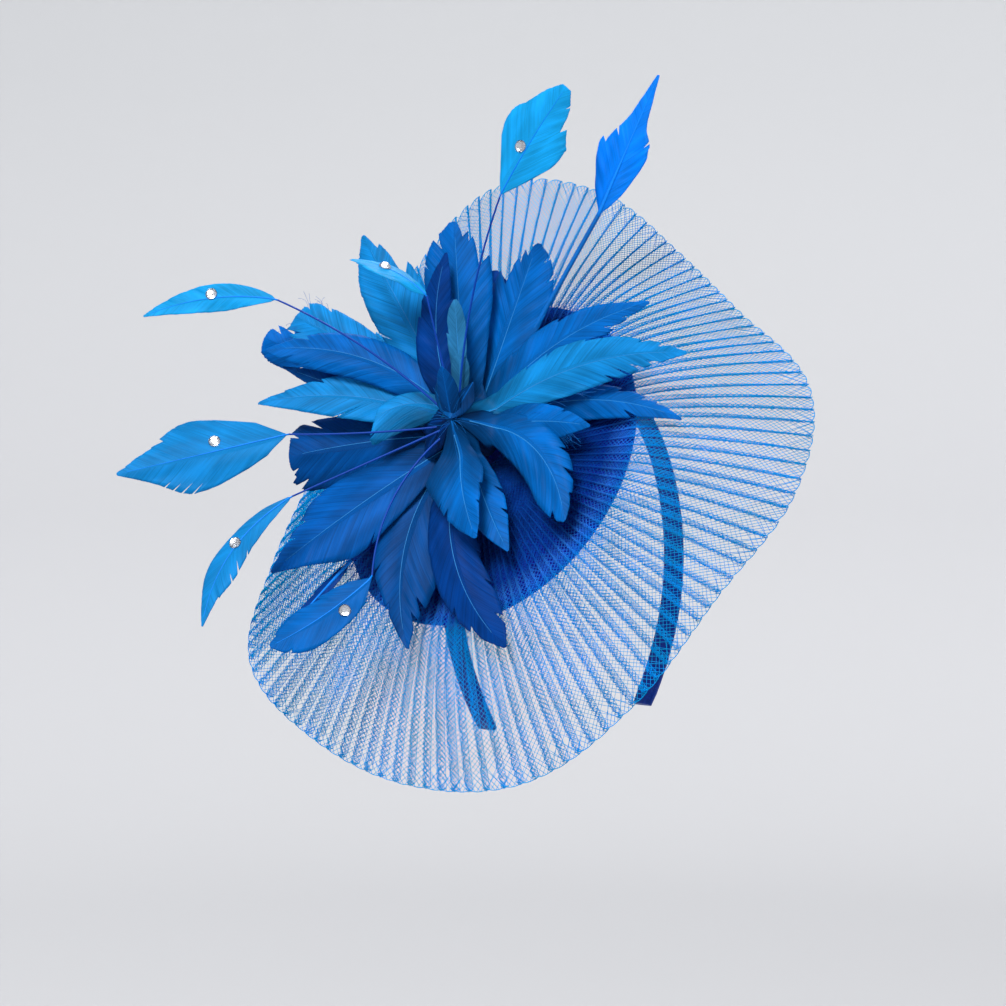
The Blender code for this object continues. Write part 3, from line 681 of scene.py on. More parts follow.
def add_grid(shape, along, across, place, measure):
    """Adds a grid: place(u, v) puts its points, and measure(u, v) gives its UVs in millimetres."""
    made = bmesh.ops.create_grid(shape, x_segments=along, y_segments=across, size=0.5)["verts"]
    layer = shape.loops.layers.uv.get("UVMap") or shape.loops.layers.uv.new("UVMap")
    for face in {face for vertex in made for face in vertex.link_faces}:
        for loop in face.loops:
            loop[layer].uv = measure(loop.vert.co.x + 0.5, loop.vert.co.y + 0.5)
    for vertex in made:
        vertex.co = place(vertex.co.x + 0.5, vertex.co.y + 0.5) * MM
    return made


def mesh_of(shape, name, smooth=True):
    """The mesh of a bmesh, with its seams closed and its faces outwards."""
    bmesh.ops.remove_doubles(shape, verts=shape.verts, dist=SEAM)
    bmesh.ops.recalc_face_normals(shape, faces=shape.faces)
    mesh_data = bpy.data.meshes.new(name)
    shape.to_mesh(mesh_data)
    shape.free()
    if smooth:
        mesh_data.shade_smooth()
    return mesh_data


def evaluated_mesh(mesh_data, kind, **settings):
    """A copy of the mesh with one modifier applied."""
    helper = new_object("helper", mesh_data)
    modifier = helper.modifiers.new("Helper", kind)
    for name, value in settings.items():
        setattr(modifier, name, value)
    graph = bpy.context.evaluated_depsgraph_get()
    made = bpy.data.meshes.new_from_object(helper.evaluated_get(graph))
    bpy.data.objects.remove(helper)
    return made


def piece_of(name, mesh_data, materials, slot, *nodes):
    """One finished piece: it rides on the body and stands for its solids."""
    piece = new_object(name, mesh_data)
    for material in materials:
        mesh_data.materials.append(material)
    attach(piece, BODY)
    if nodes:
        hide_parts(*nodes)
    return piece


def close_ends(shape, sides):
    """Closes a tube's seam and its two open ends."""
    bmesh.ops.remove_doubles(shape, verts=shape.verts, dist=SEAM)
    open_edges = [edge for edge in shape.edges if edge.is_boundary]
    bmesh.ops.holes_fill(shape, edges=open_edges, sides=sides)


def tube_mesh(name, path, outs, radii, sides):
    """A round quill along a path, with a direction out of it at each point.

    An end of radius 0 is a point.
    """
    steps = len(path) - 1
    lengths = [0]
    for first, second in zip(path, path[1:]):
        lengths.append(lengths[-1] + (second - first).length)

    def place(u, v):
        step = round(u * steps)
        ahead = (path[min(step + 1, steps)] - path[max(step - 1, 0)]).normalized()
        out = (outs[step] - ahead * outs[step].dot(ahead)).normalized()
        turn = 2 * math.pi * v
        side = out * math.cos(turn) + ahead.cross(out) * math.sin(turn)
        return path[step] + side * radii[step]

    shape = bmesh.new()
    add_grid(shape, steps, sides, place, lambda u, v: (lengths[round(u * steps)], 2 * v))
    close_ends(shape, sides)
    return mesh_of(shape, name)


def joined(name, *parts):
    """One mesh of several, each with its own material in turn."""
    shape = bmesh.new()
    for number, part in enumerate(parts):
        known = len(shape.faces)
        shape.from_mesh(part)
        shape.faces.ensure_lookup_table()
        for face in shape.faces[known:]:
            face.material_index = number
        bpy.data.meshes.remove(part)
    mesh_data = bpy.data.meshes.new(name)
    shape.to_mesh(mesh_data)
    shape.free()
    return mesh_data


def band_point(share):
    """The middle of the band's wall and its outward direction, from tip to tip."""
    side = 2 * share - 1
    if abs(side) <= BAND_ARCH:
        angle = math.radians(90) * side / BAND_ARCH
        x, z = math.sin(angle), math.cos(angle)
        point = Vector((BAND_HALF_WIDTH * x, 0, BAND_RISE * (z - 1)))
        out = Vector((x / BAND_HALF_WIDTH, 0, z / BAND_RISE)).normalized()
    else:
        down = (abs(side) - BAND_ARCH) / (1 - BAND_ARCH)
        x = BAND_HALF_WIDTH - BAND_TUCK * down**2
        point = Vector((math.copysign(x, side), 0, -BAND_RISE - BAND_DROP * down))
        out = Vector((math.copysign(BAND_DROP, side), 0, -2 * BAND_TUCK * down)).normalized()
    return point + out * BAND_THICK / 2, out


def rounded(turn, half_width, half_height):
    """A point of a flat section with round edges."""
    power = 2 / BAND_SQUARENESS
    x, y = math.cos(turn), math.sin(turn)
    return (math.copysign(abs(x) ** power, x) * half_width,
            math.copysign(abs(y) ** power, y) * half_height)


def base_height(radius):
    return BASE_RISE * (1 - (radius / BASE_RADIUS) ** 2)


def rim_at(angle):
    """The rim at an angle, on a smooth curve through the table's rows."""
    place = (angle / (2 * math.pi) * len(RIM)) % len(RIM)
    row, share = int(place), place - int(place)
    before, first, second, after = (RIM[(row + i) % len(RIM)] for i in (-1, 0, 1, 2))

    def smooth(a, b, c, d):
        square, cube = 2 * a - 5 * b + 4 * c - d, 3 * (b - c) + d - a
        return b + 0.5 * share * (c - a + share * (square + share * cube))

    return Rim(*(smooth(*values) for values in zip(before, first, second, after)))


def base_edge_at(angle):
    along = FLOWER_STEM.x * math.cos(angle) + FLOWER_STEM.y * math.sin(angle)
    apart = FLOWER_STEM.x**2 + FLOWER_STEM.y**2 - along**2
    return math.sqrt(BASE_RADIUS**2 - apart) - along


def net_ring(angle, ring):
    """The rim at an angle, and the radius of one of the net's rings there.

    The ring is 0 at the hole, 1 at the base's edge and 2 at the rim.
    """
    rim, edge = rim_at(angle), base_edge_at(angle)
    inside = CRIN_HOLE + (edge - CRIN_HOLE) * min(ring, 1)
    return rim, inside + (rim.radius - edge) * max(0, ring - 1)


def net_point(angle, ring, fold, stand):
    """A point of the net in the disc's frame.

    The fold is -1 to 1, from a pleat's inner folds to its outer ones, and stand is over it.
    """
    rim, radius = net_ring(angle, ring)
    past = max(0, ring - 1)
    outwards = radius / rim.radius
    level = base_height(min(radius, BASE_RADIUS)) + BASE_THICK / 2 + CRIN_CLEAR
    level += CRIN_THICK / 2 + SOLID_PLEAT * outwards
    height = level + (rim.height - level) * past**CRIN_BEND
    height += fold * PLEAT_HEIGHT * outwards * min(1, PLEAT_INNER + past) + stand
    share = (fold + 1) / 2
    radius += (CRIN_TOOTH * share + CRIN_SCALLOP * math.sin(math.pi * share)) * past**2
    return Vector((FLOWER_STEM.x + radius * math.cos(angle),
                   FLOWER_STEM.y + radius * math.sin(angle), height))


def pleat_turn(number):
    """The angle of a pleat's inner fold. The pleats run clockwise and are a little uneven."""
    uneven = PLEAT_UNEVEN * noise_at(number * 0.37, 0, 7.1)
    return -(number + uneven) * 2 * math.pi / PLEATS


def pleat_at(number, ring):
    """The angles of a pleat's two inner folds, its radius, and the share of its net on top."""
    turn, after = pleat_turn(number), pleat_turn(number + 1)
    radius = net_ring(turn, ring)[1]
    return turn, after, radius, ((turn - after) * radius + PLEAT_NET) / 2 / PLEAT_NET


def folded(along, ring, stand):
    """Where a point of the flat net lies once it is pleated. Along counts in pleats' net."""
    number = math.floor(along)
    part = along - number
    turn, after, radius, forward = pleat_at(number, ring)
    if part < forward:
        share = part / forward
        angle = turn - forward * share * PLEAT_NET / radius
    else:
        share = (1 - part) / (1 - forward)
        angle = after - share * (1 - forward) * PLEAT_NET / radius
    return net_point(angle, ring, 2 * share - 1, stand)


def fold_share(number, ring):
    """The share of a pleat's net that is on top, up to its outer fold."""
    return pleat_at(number, ring)[-1]


def strand_route(start, way, span, stand):
    """A thread across the net: its points are where it crosses the folds."""
    route = []
    last = None
    for step in range(CRIN_STEPS + 1):
        ring = 2 * step / CRIN_STEPS
        along = start + way * span * step / CRIN_STEPS
        number = math.floor(along)
        panel = 2 * number + (along - number > fold_share(number, ring))
        if last is None or step == CRIN_STEPS:
            route.append(folded(along, ring, stand))
        elif panel != last[0]:
            before, was_along, was_ring = last
            pleat, outer = divmod(max(panel, before), 2)
            target = pleat + fold_share(pleat, ring) if outer else pleat
            part = (target - was_along) / (along - was_along)
            crossed = was_ring + (ring - was_ring) * part
            route.append(folded(target + way * ON_A_SIDE, crossed, stand))
        last = (panel, along, ring)
    return route


def fold_threads(number, rings):
    """The routes of the gathered threads, which swing to and fro along a pleat's outer fold."""
    away = math.cos(pleat_turn(number) - math.radians(FOLD_NARROW_TURN))
    wide = FOLD_NARROW + FOLD_SPREAD * (1 - away) / 2
    for part, swings in enumerate(FOLD_SWINGS):
        route = []
        for step, ring in enumerate(rings):
            swing = swings[step % 2] + FOLD_STRAY * noise_at(step * 0.7, number * 3.1, part)
            back = max(0, wide * min(1, ring / FOLD_WHOLE) * swing) / PLEAT_NET
            place = number + fold_share(number, ring) - ON_A_SIDE - back
            route.append(folded(place, ring, FOLD_LIFT * part))
        yield route


def edge_route():
    """The thread along the rim, from pleat to pleat."""
    route = []
    for number in range(PLEATS):
        top = fold_share(number, 2)
        parts = [top * part / EDGE_POINTS for part in range(EDGE_POINTS)]
        parts += [top - ON_A_SIDE, (top + 1) / 2]
        route += [folded(number + part, 2, 0) for part in parts]
    return route + route[:1]


def thread_mesh(name, routes, radius, frame_of):
    """Many threads as one mesh of three-sided wires."""
    triangle = bpy.data.curves.new("wire_section", "CURVE")
    section = triangle.splines.new("POLY")
    section.points.add(2)
    section.use_cyclic_u = True
    for number, point in enumerate(section.points):
        point.co = (*polar(radius, 2 * math.pi * number / 3), 1)
    helper = new_object("wire_section", triangle)
    curve = bpy.data.curves.new(name, "CURVE")
    curve.dimensions = "3D"
    curve.bevel_mode = "OBJECT"
    curve.bevel_object = helper
    curve.use_fill_caps = True
    for route in routes:
        spline = curve.splines.new("POLY")
        spline.points.add(len(route) - 1)
        for point, place in zip(spline.points, route):
            point.co = (*(frame_of @ place * MM), 1)
    wires = new_object(name, curve)
    graph = bpy.context.evaluated_depsgraph_get()
    mesh_data = bpy.data.meshes.new_from_object(wires.evaluated_get(graph))
    for thing in (helper, wires):
        bpy.data.objects.remove(thing)
    mesh_data.shade_smooth()
    return mesh_data


def root_at(height):
    share = (height - HEART_LOW) / (HEART_HIGH - HEART_LOW)
    return HEART_LOW_RADIUS + (HEART_HIGH_RADIUS - HEART_LOW_RADIUS) * share + ROOT_GAP


def wave_at(along, aside, seed):
    """How a vane falls from its quill, with its slow bends and fine clumps."""
    slow = noise_at(along * WAVES_ALONG, aside * WAVES_ASIDE, seed)
    fine = (along * CLUMPS_ALONG - abs(aside)) * CLUMPS_SCALE
    clumps = noise_at(fine, math.copysign(3, aside), seed)
    tent = VANE_TENT * (TENT_MEAN + TENT_VARIES * math.sin(seed))
    bends = VANE_WAVE * min(1, abs(aside) / VANE_STIFF) * (slow + VANE_RIPPLE * clumps)
    return bends - tent * (math.hypot(aside, 1) - 1)


def petal_start(petal):
    return root_at(LAYER_LOW + LAYER_STEP * petal.layer)


def petal_surface(petal, rank, along, aside):
    """A point of a petal in the flower's frame, aside from its quill.

    The upper petals' roots, where along is below 0, run up over the heart, in the order of rank.
    """
    start = petal_start(petal)
    reach = start + petal.length * along
    radius = math.hypot(reach, aside)
    angle = math.radians(petal.turn + petal.sweep * along) + math.atan2(aside, reach)
    lift = math.tan(math.radians(LOWEST_LIFT + LAYER_LIFT * petal.layer))
    height = LAYER_LOW + LAYER_STEP * petal.layer + lift * radius
    height -= petal.drop * (radius / (start + petal.length)) ** 2
    height += math.tan(math.radians(petal.twist)) * aside * along - PETAL_CUP * aside**2
    height += wave_at(along, aside, petal.turn)
    if petal.layer >= CROWN_LAYER and radius < CROWN_RADIUS:
        top = HEART_HIGH + CROWN_RISE + CROWN_STEP * rank
        height += (top - height) * (1 - (radius / CROWN_RADIUS) ** 2) ** 2
    return polar(radius, angle, height)


def leaf_surface(leaf, level, along, aside):
    """A point of a small feather over the heart, in the flower's frame."""
    reach = leaf.start + (leaf.end - leaf.start) * along
    radius = math.hypot(reach, aside)
    angle = math.radians(leaf.turn + leaf.sweep * along) + math.atan2(aside, reach)
    height = HEART_HIGH + LEAF_STEP * (level + 1)
    height += math.tan(math.radians(leaf.lift)) * reach - leaf.drop * along**2
    height += wave_at(along, aside, leaf.turn) - LEAF_CUP * aside**2
    return polar(radius, angle, height)


def arrow_surface(arrow, along, aside):
    """A point of a stripped quill, 0 to 1 along, and its blade, 1 to 2."""
    stem_share, u = min(along, 1), max(along - 1, 0)
    heading = math.radians(arrow.turn + arrow.swerve * (1 - stem_share))
    middle = polar(1, heading).xy * (root_at(arrow.start) + arrow.stem * stem_share)
    if u > 0:
        chord = heading + math.radians(arrow.bend)
        ahead = polar(1, chord).xy
        middle += ahead * arrow.blade * u
        middle += ahead.orthogonal() * (4 * arrow.bow * u * (1 - u))
        heading = chord + math.atan2(4 * arrow.bow * (1 - 2 * u), arrow.blade)
    roll = math.radians(arrow.roll) * min(1, u / ARROW_ROLLS_WITHIN)
    side = polar(1, heading).xy.orthogonal() * math.cos(roll)
    height = arrow.start + math.tan(math.radians(arrow.lift)) * middle.length
    height += aside * math.sin(roll) + wave_at(u, aside, arrow.turn)
    return (middle + side * aside).to_3d() + Vector((0, 0, height))


def half_of(feather, side):
    return feather.left if side > 0 else feather.right


def half_width(shape, along, foot):
    """The share of its widest that a blade has, no less than its foot next to the root."""
    if along > 1:
        return 0
    if along < 0:
        return foot * max(FOOT_LEAST, 1 + FOOT_NARROWS * along)
    footing = foot * (1 - along / FOOT_REACH) if along < FOOT_REACH else 0
    return max(smooth_of(SHAPES[shape], along), footing)


def barb_reach(feather, side, root, length, foot):
    """How far from the quill a barb meets the blade's outline."""
    half = half_of(feather, side)
    low, high = 0.0, half * 1.1
    for _ in range(BARB_TRIES):
        aside = (low + high) / 2
        if aside < half * half_width(feather.shape, root + aside * BARB_SLANT / length, foot):
            low = aside
        else:
            high = aside
    return low


def barb_rows(name, feather, length, foot, fringe, dice, before):
    """Each barb's reach from the quill and its lift at the tip, on the right and on the left.

    The barbs cling together in clumps that lie over each other like shingles.
    """
    count = round(length * (1 + before) / BARB_STEP)
    rows = {RIGHT: [], LEFT: []}
    for side, row in rows.items():
        begin, wide = 0, 0
        for number in range(count + 1):
            root = number / count * (1 + before) - before
            if number - begin >= wide:
                begin, wide = number, dice.randint(*CLUMP_BARBS)
                lift, trim = dice.uniform(0, 1) * CLUMP_LIFT, 1 - dice.uniform(0, CLUMP_TRIM)
                nick = dice.uniform(0, CLUMP_NICK) if dice.random() < CLUMP_NICKED else 0
            reach = barb_reach(feather, side, root, length, foot) * trim
            reach *= 1 - nick * (1 - (number - begin) / wide)
            reach *= 1 - fringe * dice.random() * (FRINGE_ROOT + FRINGE_TIP * root**8)
            for at, depth, width in CUTS.get((name, side), ()):
                past = (root - at) / width
                if 0 <= past < 1:
                    reach *= 1 - depth * (1 - past)
            row.append((reach, lift * ((number - begin) / wide - 0.5)))
    return rows


def vane_mesh(name, feather, surface, length, foot, fringe, dice, up, before=0):
    """A thin vane whose rows of faces follow its barbs, so cuts and fringes run along them.

    It can begin before its root, by a share of its length.
    """
    rows = barb_rows(name, feather, length, foot, fringe, dice, before)
    barbs = len(rows[LEFT]) - 1

    def barb(u, v):
        number, across = round(u * barbs), 2 * v - 1
        side = LEFT if across > 0 else RIGHT
        reach, lift = rows[side][number]
        away = abs(across) * reach
        root = number / barbs * (1 + before) - before
        return root + away * BARB_SLANT / length, side * away, number, lift * abs(across)

    def place(u, v):
        along, aside, _, lift = barb(u, v)
        return surface(min(along, 1), aside) + up * lift

    def measure(u, v):
        _, aside, number, _ = barb(u, v)
        return number * BARB_STEP + (LEFT_U if aside > 0 else 0), abs(aside)

    shape = bmesh.new()
    add_grid(shape, barbs, 2 * VANE_STRIPS, place, measure)
    thin = mesh_of(shape, name)
    walled = evaluated_mesh(thin, "SOLIDIFY", thickness=VANE_THICK * MM, offset=0)
    bpy.data.meshes.remove(thin)
    return walled


def curled(start, ahead, dice, bend, sizes):
    """A loose barb that sets out straight ahead and curls more and more."""
    curl = Vector([dice.uniform(-bend, bend) for _ in range(3)])
    size = dice.uniform(*sizes)
    return [start + (ahead + curl * step / BARB_BENDS) * size * step / BARB_BENDS
            for step in range(BARB_BENDS + 1)]


def loose_barb(petal, side, root, dice):
    """A barb that has come away from its vane and curls past the edge."""
    reach = barb_reach(petal, side, root, petal.length, PETAL_FOOT)
    foot, edge = (
        petal_surface(petal, 0, root + away * BARB_SLANT / petal.length, side * away)
        for away in (reach * 0.5, reach))
    return [foot] + curled(edge, (edge - foot).normalized(), dice, LOOSE_CURL, LOOSE_SIZES)


def barb_routes(dice):
    """All the loose barbs: those of the petals, and those that stand out of the heart."""
    petals = {petal.name: petal for petal in PETALS}
    routes = [
        loose_barb(petals[down.feather], down.side, dice.uniform(down.low, down.high), dice)
        for down in LOOSE_BARBS for _ in range(down.barbs)]
    heart = Vector((0, 0, HEART_HIGH + HEART_BARBS_RISE))
    for _ in range(HEART_BARBS):
        turn = dice.uniform(0, 2 * math.pi)
        lift = math.radians(dice.uniform(*HEART_BARBS_LIFT))
        ahead = polar(math.cos(lift), turn, math.sin(lift))
        routes.append(curled(heart, ahead, dice, HEART_BARBS_CURL, HEART_BARBS_SIZES))
    return routes


def quill_mesh(name, surface, steps, ends, radii):
    """The quill along a feather's middle, tapering between the radii."""
    (start, end), (thick, thin) = ends, radii
    ahead_by, aside_by = QUILL_FEEL
    path, outs = [], []
    for step in range(steps + 1):
        along = start + (end - start) * step / steps
        middle = surface(along, 0)
        ahead = surface(along + ahead_by, 0) - middle
        outs.append(ahead.cross(surface(along, aside_by) - middle).normalized())
        path.append(middle + outs[-1] * QUILL_STAND)
    sizes = [thick + (thin - thick) * (step / steps) ** QUILL_TAPER for step in range(steps)]
    return tube_mesh(name, path, outs, sizes + [0], QUILL_SIDES)


def stone_shape():
    """A stone with its facets. Its flat back is at height 0 and has the second material."""
    shape = bmesh.new()
    rows = []
    for ring in STONE_RINGS:
        made = bmesh.ops.create_circle(shape, segments=ring.sides, radius=ring.radius)["verts"]
        turn = Matrix.Rotation(math.pi / ring.sides, 4, "Z") if ring.turned else Matrix()
        bmesh.ops.transform(
            shape, matrix=Matrix.Translation((0, 0, ring.height)) @ turn, verts=made)
        rows.append({edge for vertex in made for edge in vertex.link_edges})
    for first, second in zip(rows, rows[1:]):
        bmesh.ops.bridge_loops(shape, edges=list(first | second))
    back = bmesh.ops.contextual_create(shape, geom=list(rows[0]))["faces"]
    bmesh.ops.contextual_create(shape, geom=list(rows[-1]))
    for face in back:
        face.material_index = 1
    return shape


def aim(thing, place, ahead):
    """Puts a camera or a light in its place, looking ahead."""
    thing.location = place
    thing.rotation_mode = "QUATERNION"
    thing.rotation_quaternion = ahead.to_track_quat("-Z", "Y")


class FASCINATOR_OT_band(bpy.types.Operator):
    """Covers the headband with satin."""

    bl_idname = "fascinator.band"
    bl_label = "Satin band"

    def execute(self, context):
        spine = [band_point(step / BAND_STEPS) for step in range(BAND_STEPS + 1)]
        along, around = BAND_CLOTH

        def place(u, v):
            middle, out = spine[round(u * BAND_STEPS)]
            size = 1 if 0 < u < 1 else BAND_END
            across, over = rounded(2 * math.pi * v, BAND_WIDTH / 2, BAND_THICK / 2)
            return middle + Vector((0, across * size, 0)) + out * over * size

        shape = bmesh.new()
        add_grid(shape, BAND_STEPS, BAND_SIDES, place, lambda u, v: (u * along, v * around))
        close_ends(shape, BAND_SIDES)
        satin = cloth_material(
            "satin", context.scene.fascinator_band.satin, threads=5, sheen=0.1, rough=0.34,
            depth=0.05)
        piece_of("satin_band", mesh_of(shape, "satin_band"), [satin], "headband_satin", "headband")
        return {"FINISHED"}


class FASCINATOR_OT_base(bpy.types.Operator):
    """Makes the round straw base under the net."""

    bl_idname = "fascinator.base"
    bl_label = "Straw base"

    def execute(self, context):
        disc = disc_frame()
        half = BASE_THICK / 2
        steps = 2 * BASE_RINGS + BASE_EDGE_STEPS

        def section(step):
            """Over the top, round the edge and back under."""
            if step <= BASE_RINGS:
                radius = (BASE_RADIUS - half) * step / BASE_RINGS
                return radius, base_height(radius) + half
            if step < BASE_RINGS + BASE_EDGE_STEPS:
                turn = math.pi * (step - BASE_RINGS) / BASE_EDGE_STEPS
                radius = BASE_RADIUS - half + half * math.sin(turn)
                return radius, base_height(BASE_RADIUS - half) + half * math.cos(turn)
            radius = (BASE_RADIUS - half) * (steps - step) / BASE_RINGS
            return radius, base_height(radius) - half

        def point(u, v):
            radius, height = section(round(u * steps))
            return polar(radius, 2 * math.pi * v, height)

        shape = bmesh.new()
        add_grid(shape, steps, BASE_TURNS, lambda u, v: disc @ point(u, v),
                 lambda u, v: point(u, v).xy)
        straw = cloth_material(
            "straw", context.scene.fascinator_band.straw, threads=1.1, sheen=0.1, rough=0.55,
            depth=0.3)
        piece_of("straw_base", mesh_of(shape, "straw_base"), [straw], "base_straw", "base_disc")
        return {"FINISHED"}


class FASCINATOR_OT_brim(bpy.types.Operator):
    """Plaits the crin net thread by thread and folds it in knife pleats."""

    bl_idname = "fascinator.brim"
    bl_label = "Crin brim"

    def execute(self, context):
        sizes = context.scene.fascinator_net
        disc = disc_frame()
        thread = thread_material("crin_thread", sizes.colour, sizes.through)
        gathered = thread_material("crin_fold", sizes.fold_colour, sizes.through)
        for name, way, nodes in (
                ("crin_threads_left", 1, ("crin_brim",)), ("crin_threads_right", -1, ())):
            routes = []
            for number in range(sizes.strands):
                drift = CRIN_STRAY * noise_at(number * 0.7, way, 3)
                start = (number + drift) / sizes.strands * PLEATS
                routes.append(strand_route(start, way, CRIN_CROSSES, way * CRIN_LIFT))
            mesh_data = thread_mesh(name, routes, sizes.thread, disc)
            piece_of(name, mesh_data, [thread], "crin_net", *nodes)
        outer, inner = [], []
        rings = [FOLD_START + (2 - FOLD_START) * step / FOLD_STEPS
                 for step in range(FOLD_STEPS + 1)]
        for number in range(PLEATS):
            outer += fold_threads(number, rings)
            inner.append([folded(number, ring, 0) for ring in rings[::FOLD_INNER_EVERY]])
        for name, routes, radius in (
                ("crin_folds", outer, sizes.fold),
                ("crin_inner_folds", inner, sizes.fold * FOLD_INNER_SIZE),
                ("crin_edge", [edge_route()], sizes.thread * EDGE_THREAD)):
            piece_of(name, thread_mesh(name, routes, radius, disc), [gathered], "crin_net")
        return {"FINISHED"}


class FASCINATOR_OT_stem(bpy.types.Operator):
    """Binds the feathers' quills with thread at the flower's heart."""

    bl_idname = "fascinator.stem"
    bl_label = "Bound stem"

    def execute(self, context):
        flower = flower_frame()
        seat = base_height(STEM_AWAY) + BASE_THICK / 2 + STEM_CLEAR
        foot = disc_frame() @ Vector((FLOWER_STEM.x, FLOWER_STEM.y, seat))
        low, high = (flower @ Vector((0, 0, height)) for height in (HEART_LOW, HEART_HIGH))
        neck = (low - foot).length
        whole = neck + (high - low).length

        def place(u, v):
            step, turn = u * whole, 2 * math.pi * v
            up = max(0, step - neck) / (whole - neck)
            middle = foot.lerp(low, min(1, step / neck)) if step < neck else low.lerp(high, up)
            radius = STEM_RADIUS
            if step > neck:
                radius = HEART_LOW_RADIUS + (HEART_HIGH_RADIUS - HEART_LOW_RADIUS) * up
                widened = min(1, STEM_NECK + (step - neck) * STEM_WIDENS)
                radius *= widened * math.sqrt(max(0, 1 - up**8))
            if u in (0, 1):
                radius = 0
            ribs = BINDING_RIB * math.sin(step * 2 * math.pi / BINDING_PITCH + turn)
            side = polar(1, turn) * max(0, radius + ribs * (radius > 1))
            return middle + flower.to_3x3() @ side

        shape = bmesh.new()
        add_grid(shape, STEM_STEPS, STEM_SIDES, place,
                 lambda u, v: (u * whole, v * BINDING_CLOTH))
        # The binding is painted dark, 0.6 of the deep blue: painted shade of the heart's hollow.
        colour = shaded(context.scene.fascinator_feathers.deep, 0.6)[:3]
        cord = cloth_material("binding", colour, threads=2, sheen=0.05, rough=0.6, depth=0.2)
        piece_of("bound_stem", mesh_of(shape, "bound_stem"), [cord], "feather", "flower_heart")
        return {"FINISHED"}


class FASCINATOR_OT_petals(bpy.types.Operator):
    """Cuts the flower's petals from feathers."""

    bl_idname = "fascinator.petals"
    bl_label = "Feather petals"

    def execute(self, context):
        looks = context.scene.fascinator_feathers
        flower = flower_frame()
        up = flower.to_3x3() @ Vector((0, 0, 1))
        # The root share paints shade at the roots of the petals and of the heart's leaves.
        vanes = feather_materials(
            "feather", looks, ("deep", "shade", "dusk", "royal", "bright", "pale"),
            dark=0.74, light=1.33, root=0.36)
        quill = quill_material("petal_quill", looks.quill)
        ordered = sorted(PETALS, key=lambda petal: petal.layer)
        crown = [petal.name for petal in ordered if petal.layer >= CROWN_LAYER]
        for number, petal in enumerate(PETALS):
            rank, before = 0, 0
            if petal.name in crown:
                rank = crown.index(petal.name)
                before = (petal_start(petal) - CROWN_ROOT) / petal.length

            def surface(along, aside, petal=petal, rank=rank):
                return flower @ petal_surface(petal, rank, along, aside)

            name = f"{petal.name}_vane"
            dice = random.Random(number + SEEDS["petals"])
            vane = vane_mesh(petal.name, petal, surface, petal.length, PETAL_FOOT, PETAL_FRINGE,
                             dice, up, before)
            rib = quill_mesh("rib", surface, *PETAL_QUILL)
            piece_of(name, joined(name, vane, rib), [vanes[petal.tone], quill], "feather",
                     petal.name)
        for number, leaf in enumerate(HEART_LEAVES):
            def surface(along, aside, leaf=leaf, level=number):
                return flower @ leaf_surface(leaf, level, along, aside)

            name = f"heart_leaf_{number + 1}"
            dice = random.Random(number + SEEDS["leaves"])
            vane = vane_mesh(name, leaf, surface, abs(leaf.end - leaf.start), PETAL_FOOT,
                             PETAL_FRINGE, dice, up)
            piece_of(name, vane, [vanes[leaf.tone]], "feather")
        routes = barb_routes(random.Random(SEEDS["barbs"]))
        barbs = thread_mesh("loose_barbs", routes, BARB_RADIUS * MM, flower)
        piece_of("loose_barbs", barbs, [quill_material("loose_barb", looks.royal)], "feather")
        return {"FINISHED"}


class FASCINATOR_OT_arrows(bpy.types.Operator):
    """Makes the stripped quills with a trimmed blade at the tip."""

    bl_idname = "fascinator.arrows"
    bl_label = "Arrow feathers"

    def execute(self, context):
        looks = context.scene.fascinator_feathers
        flower = flower_frame()
        up = flower.to_3x3() @ Vector((0, 0, 1))
        blades = feather_materials(
            "blade", looks, ("arrow", "azure", "bright", "royal", "deep"),
            dark=0.8, light=1.2, root=1)
        dark = quill_material("stripped_quill", looks.stripped)
        light = quill_material("blade_quill", looks.azure)
        thick = quill_material("thick_quill", looks.royal)
        for number, arrow in enumerate(ARROWS):
            def surface(along, aside, arrow=arrow):
                return flower @ arrow_surface(arrow, along, aside)

            name = f"{arrow.name}_vane"
            dice = random.Random(number + SEEDS["arrows"])
            vane = vane_mesh(
                arrow.name, arrow, lambda along, aside: surface(1 + along, aside), arrow.blade, 0,
                BLADE_FRINGE, dice, up)
            thin = arrow.quill * ARROW_NARROWS
            stem = quill_mesh("stem", surface, *ARROW_STEM, (arrow.quill, thin))
            rib = quill_mesh("rib", surface, *ARROW_RIB, (thin, ARROW_TIP))
            materials = [blades[arrow.tone], thick if arrow.tone == "azure" else dark, light]
            piece_of(name, joined(name, vane, stem, rib), materials, "arrow_feather", arrow.name)
        return {"FINISHED"}


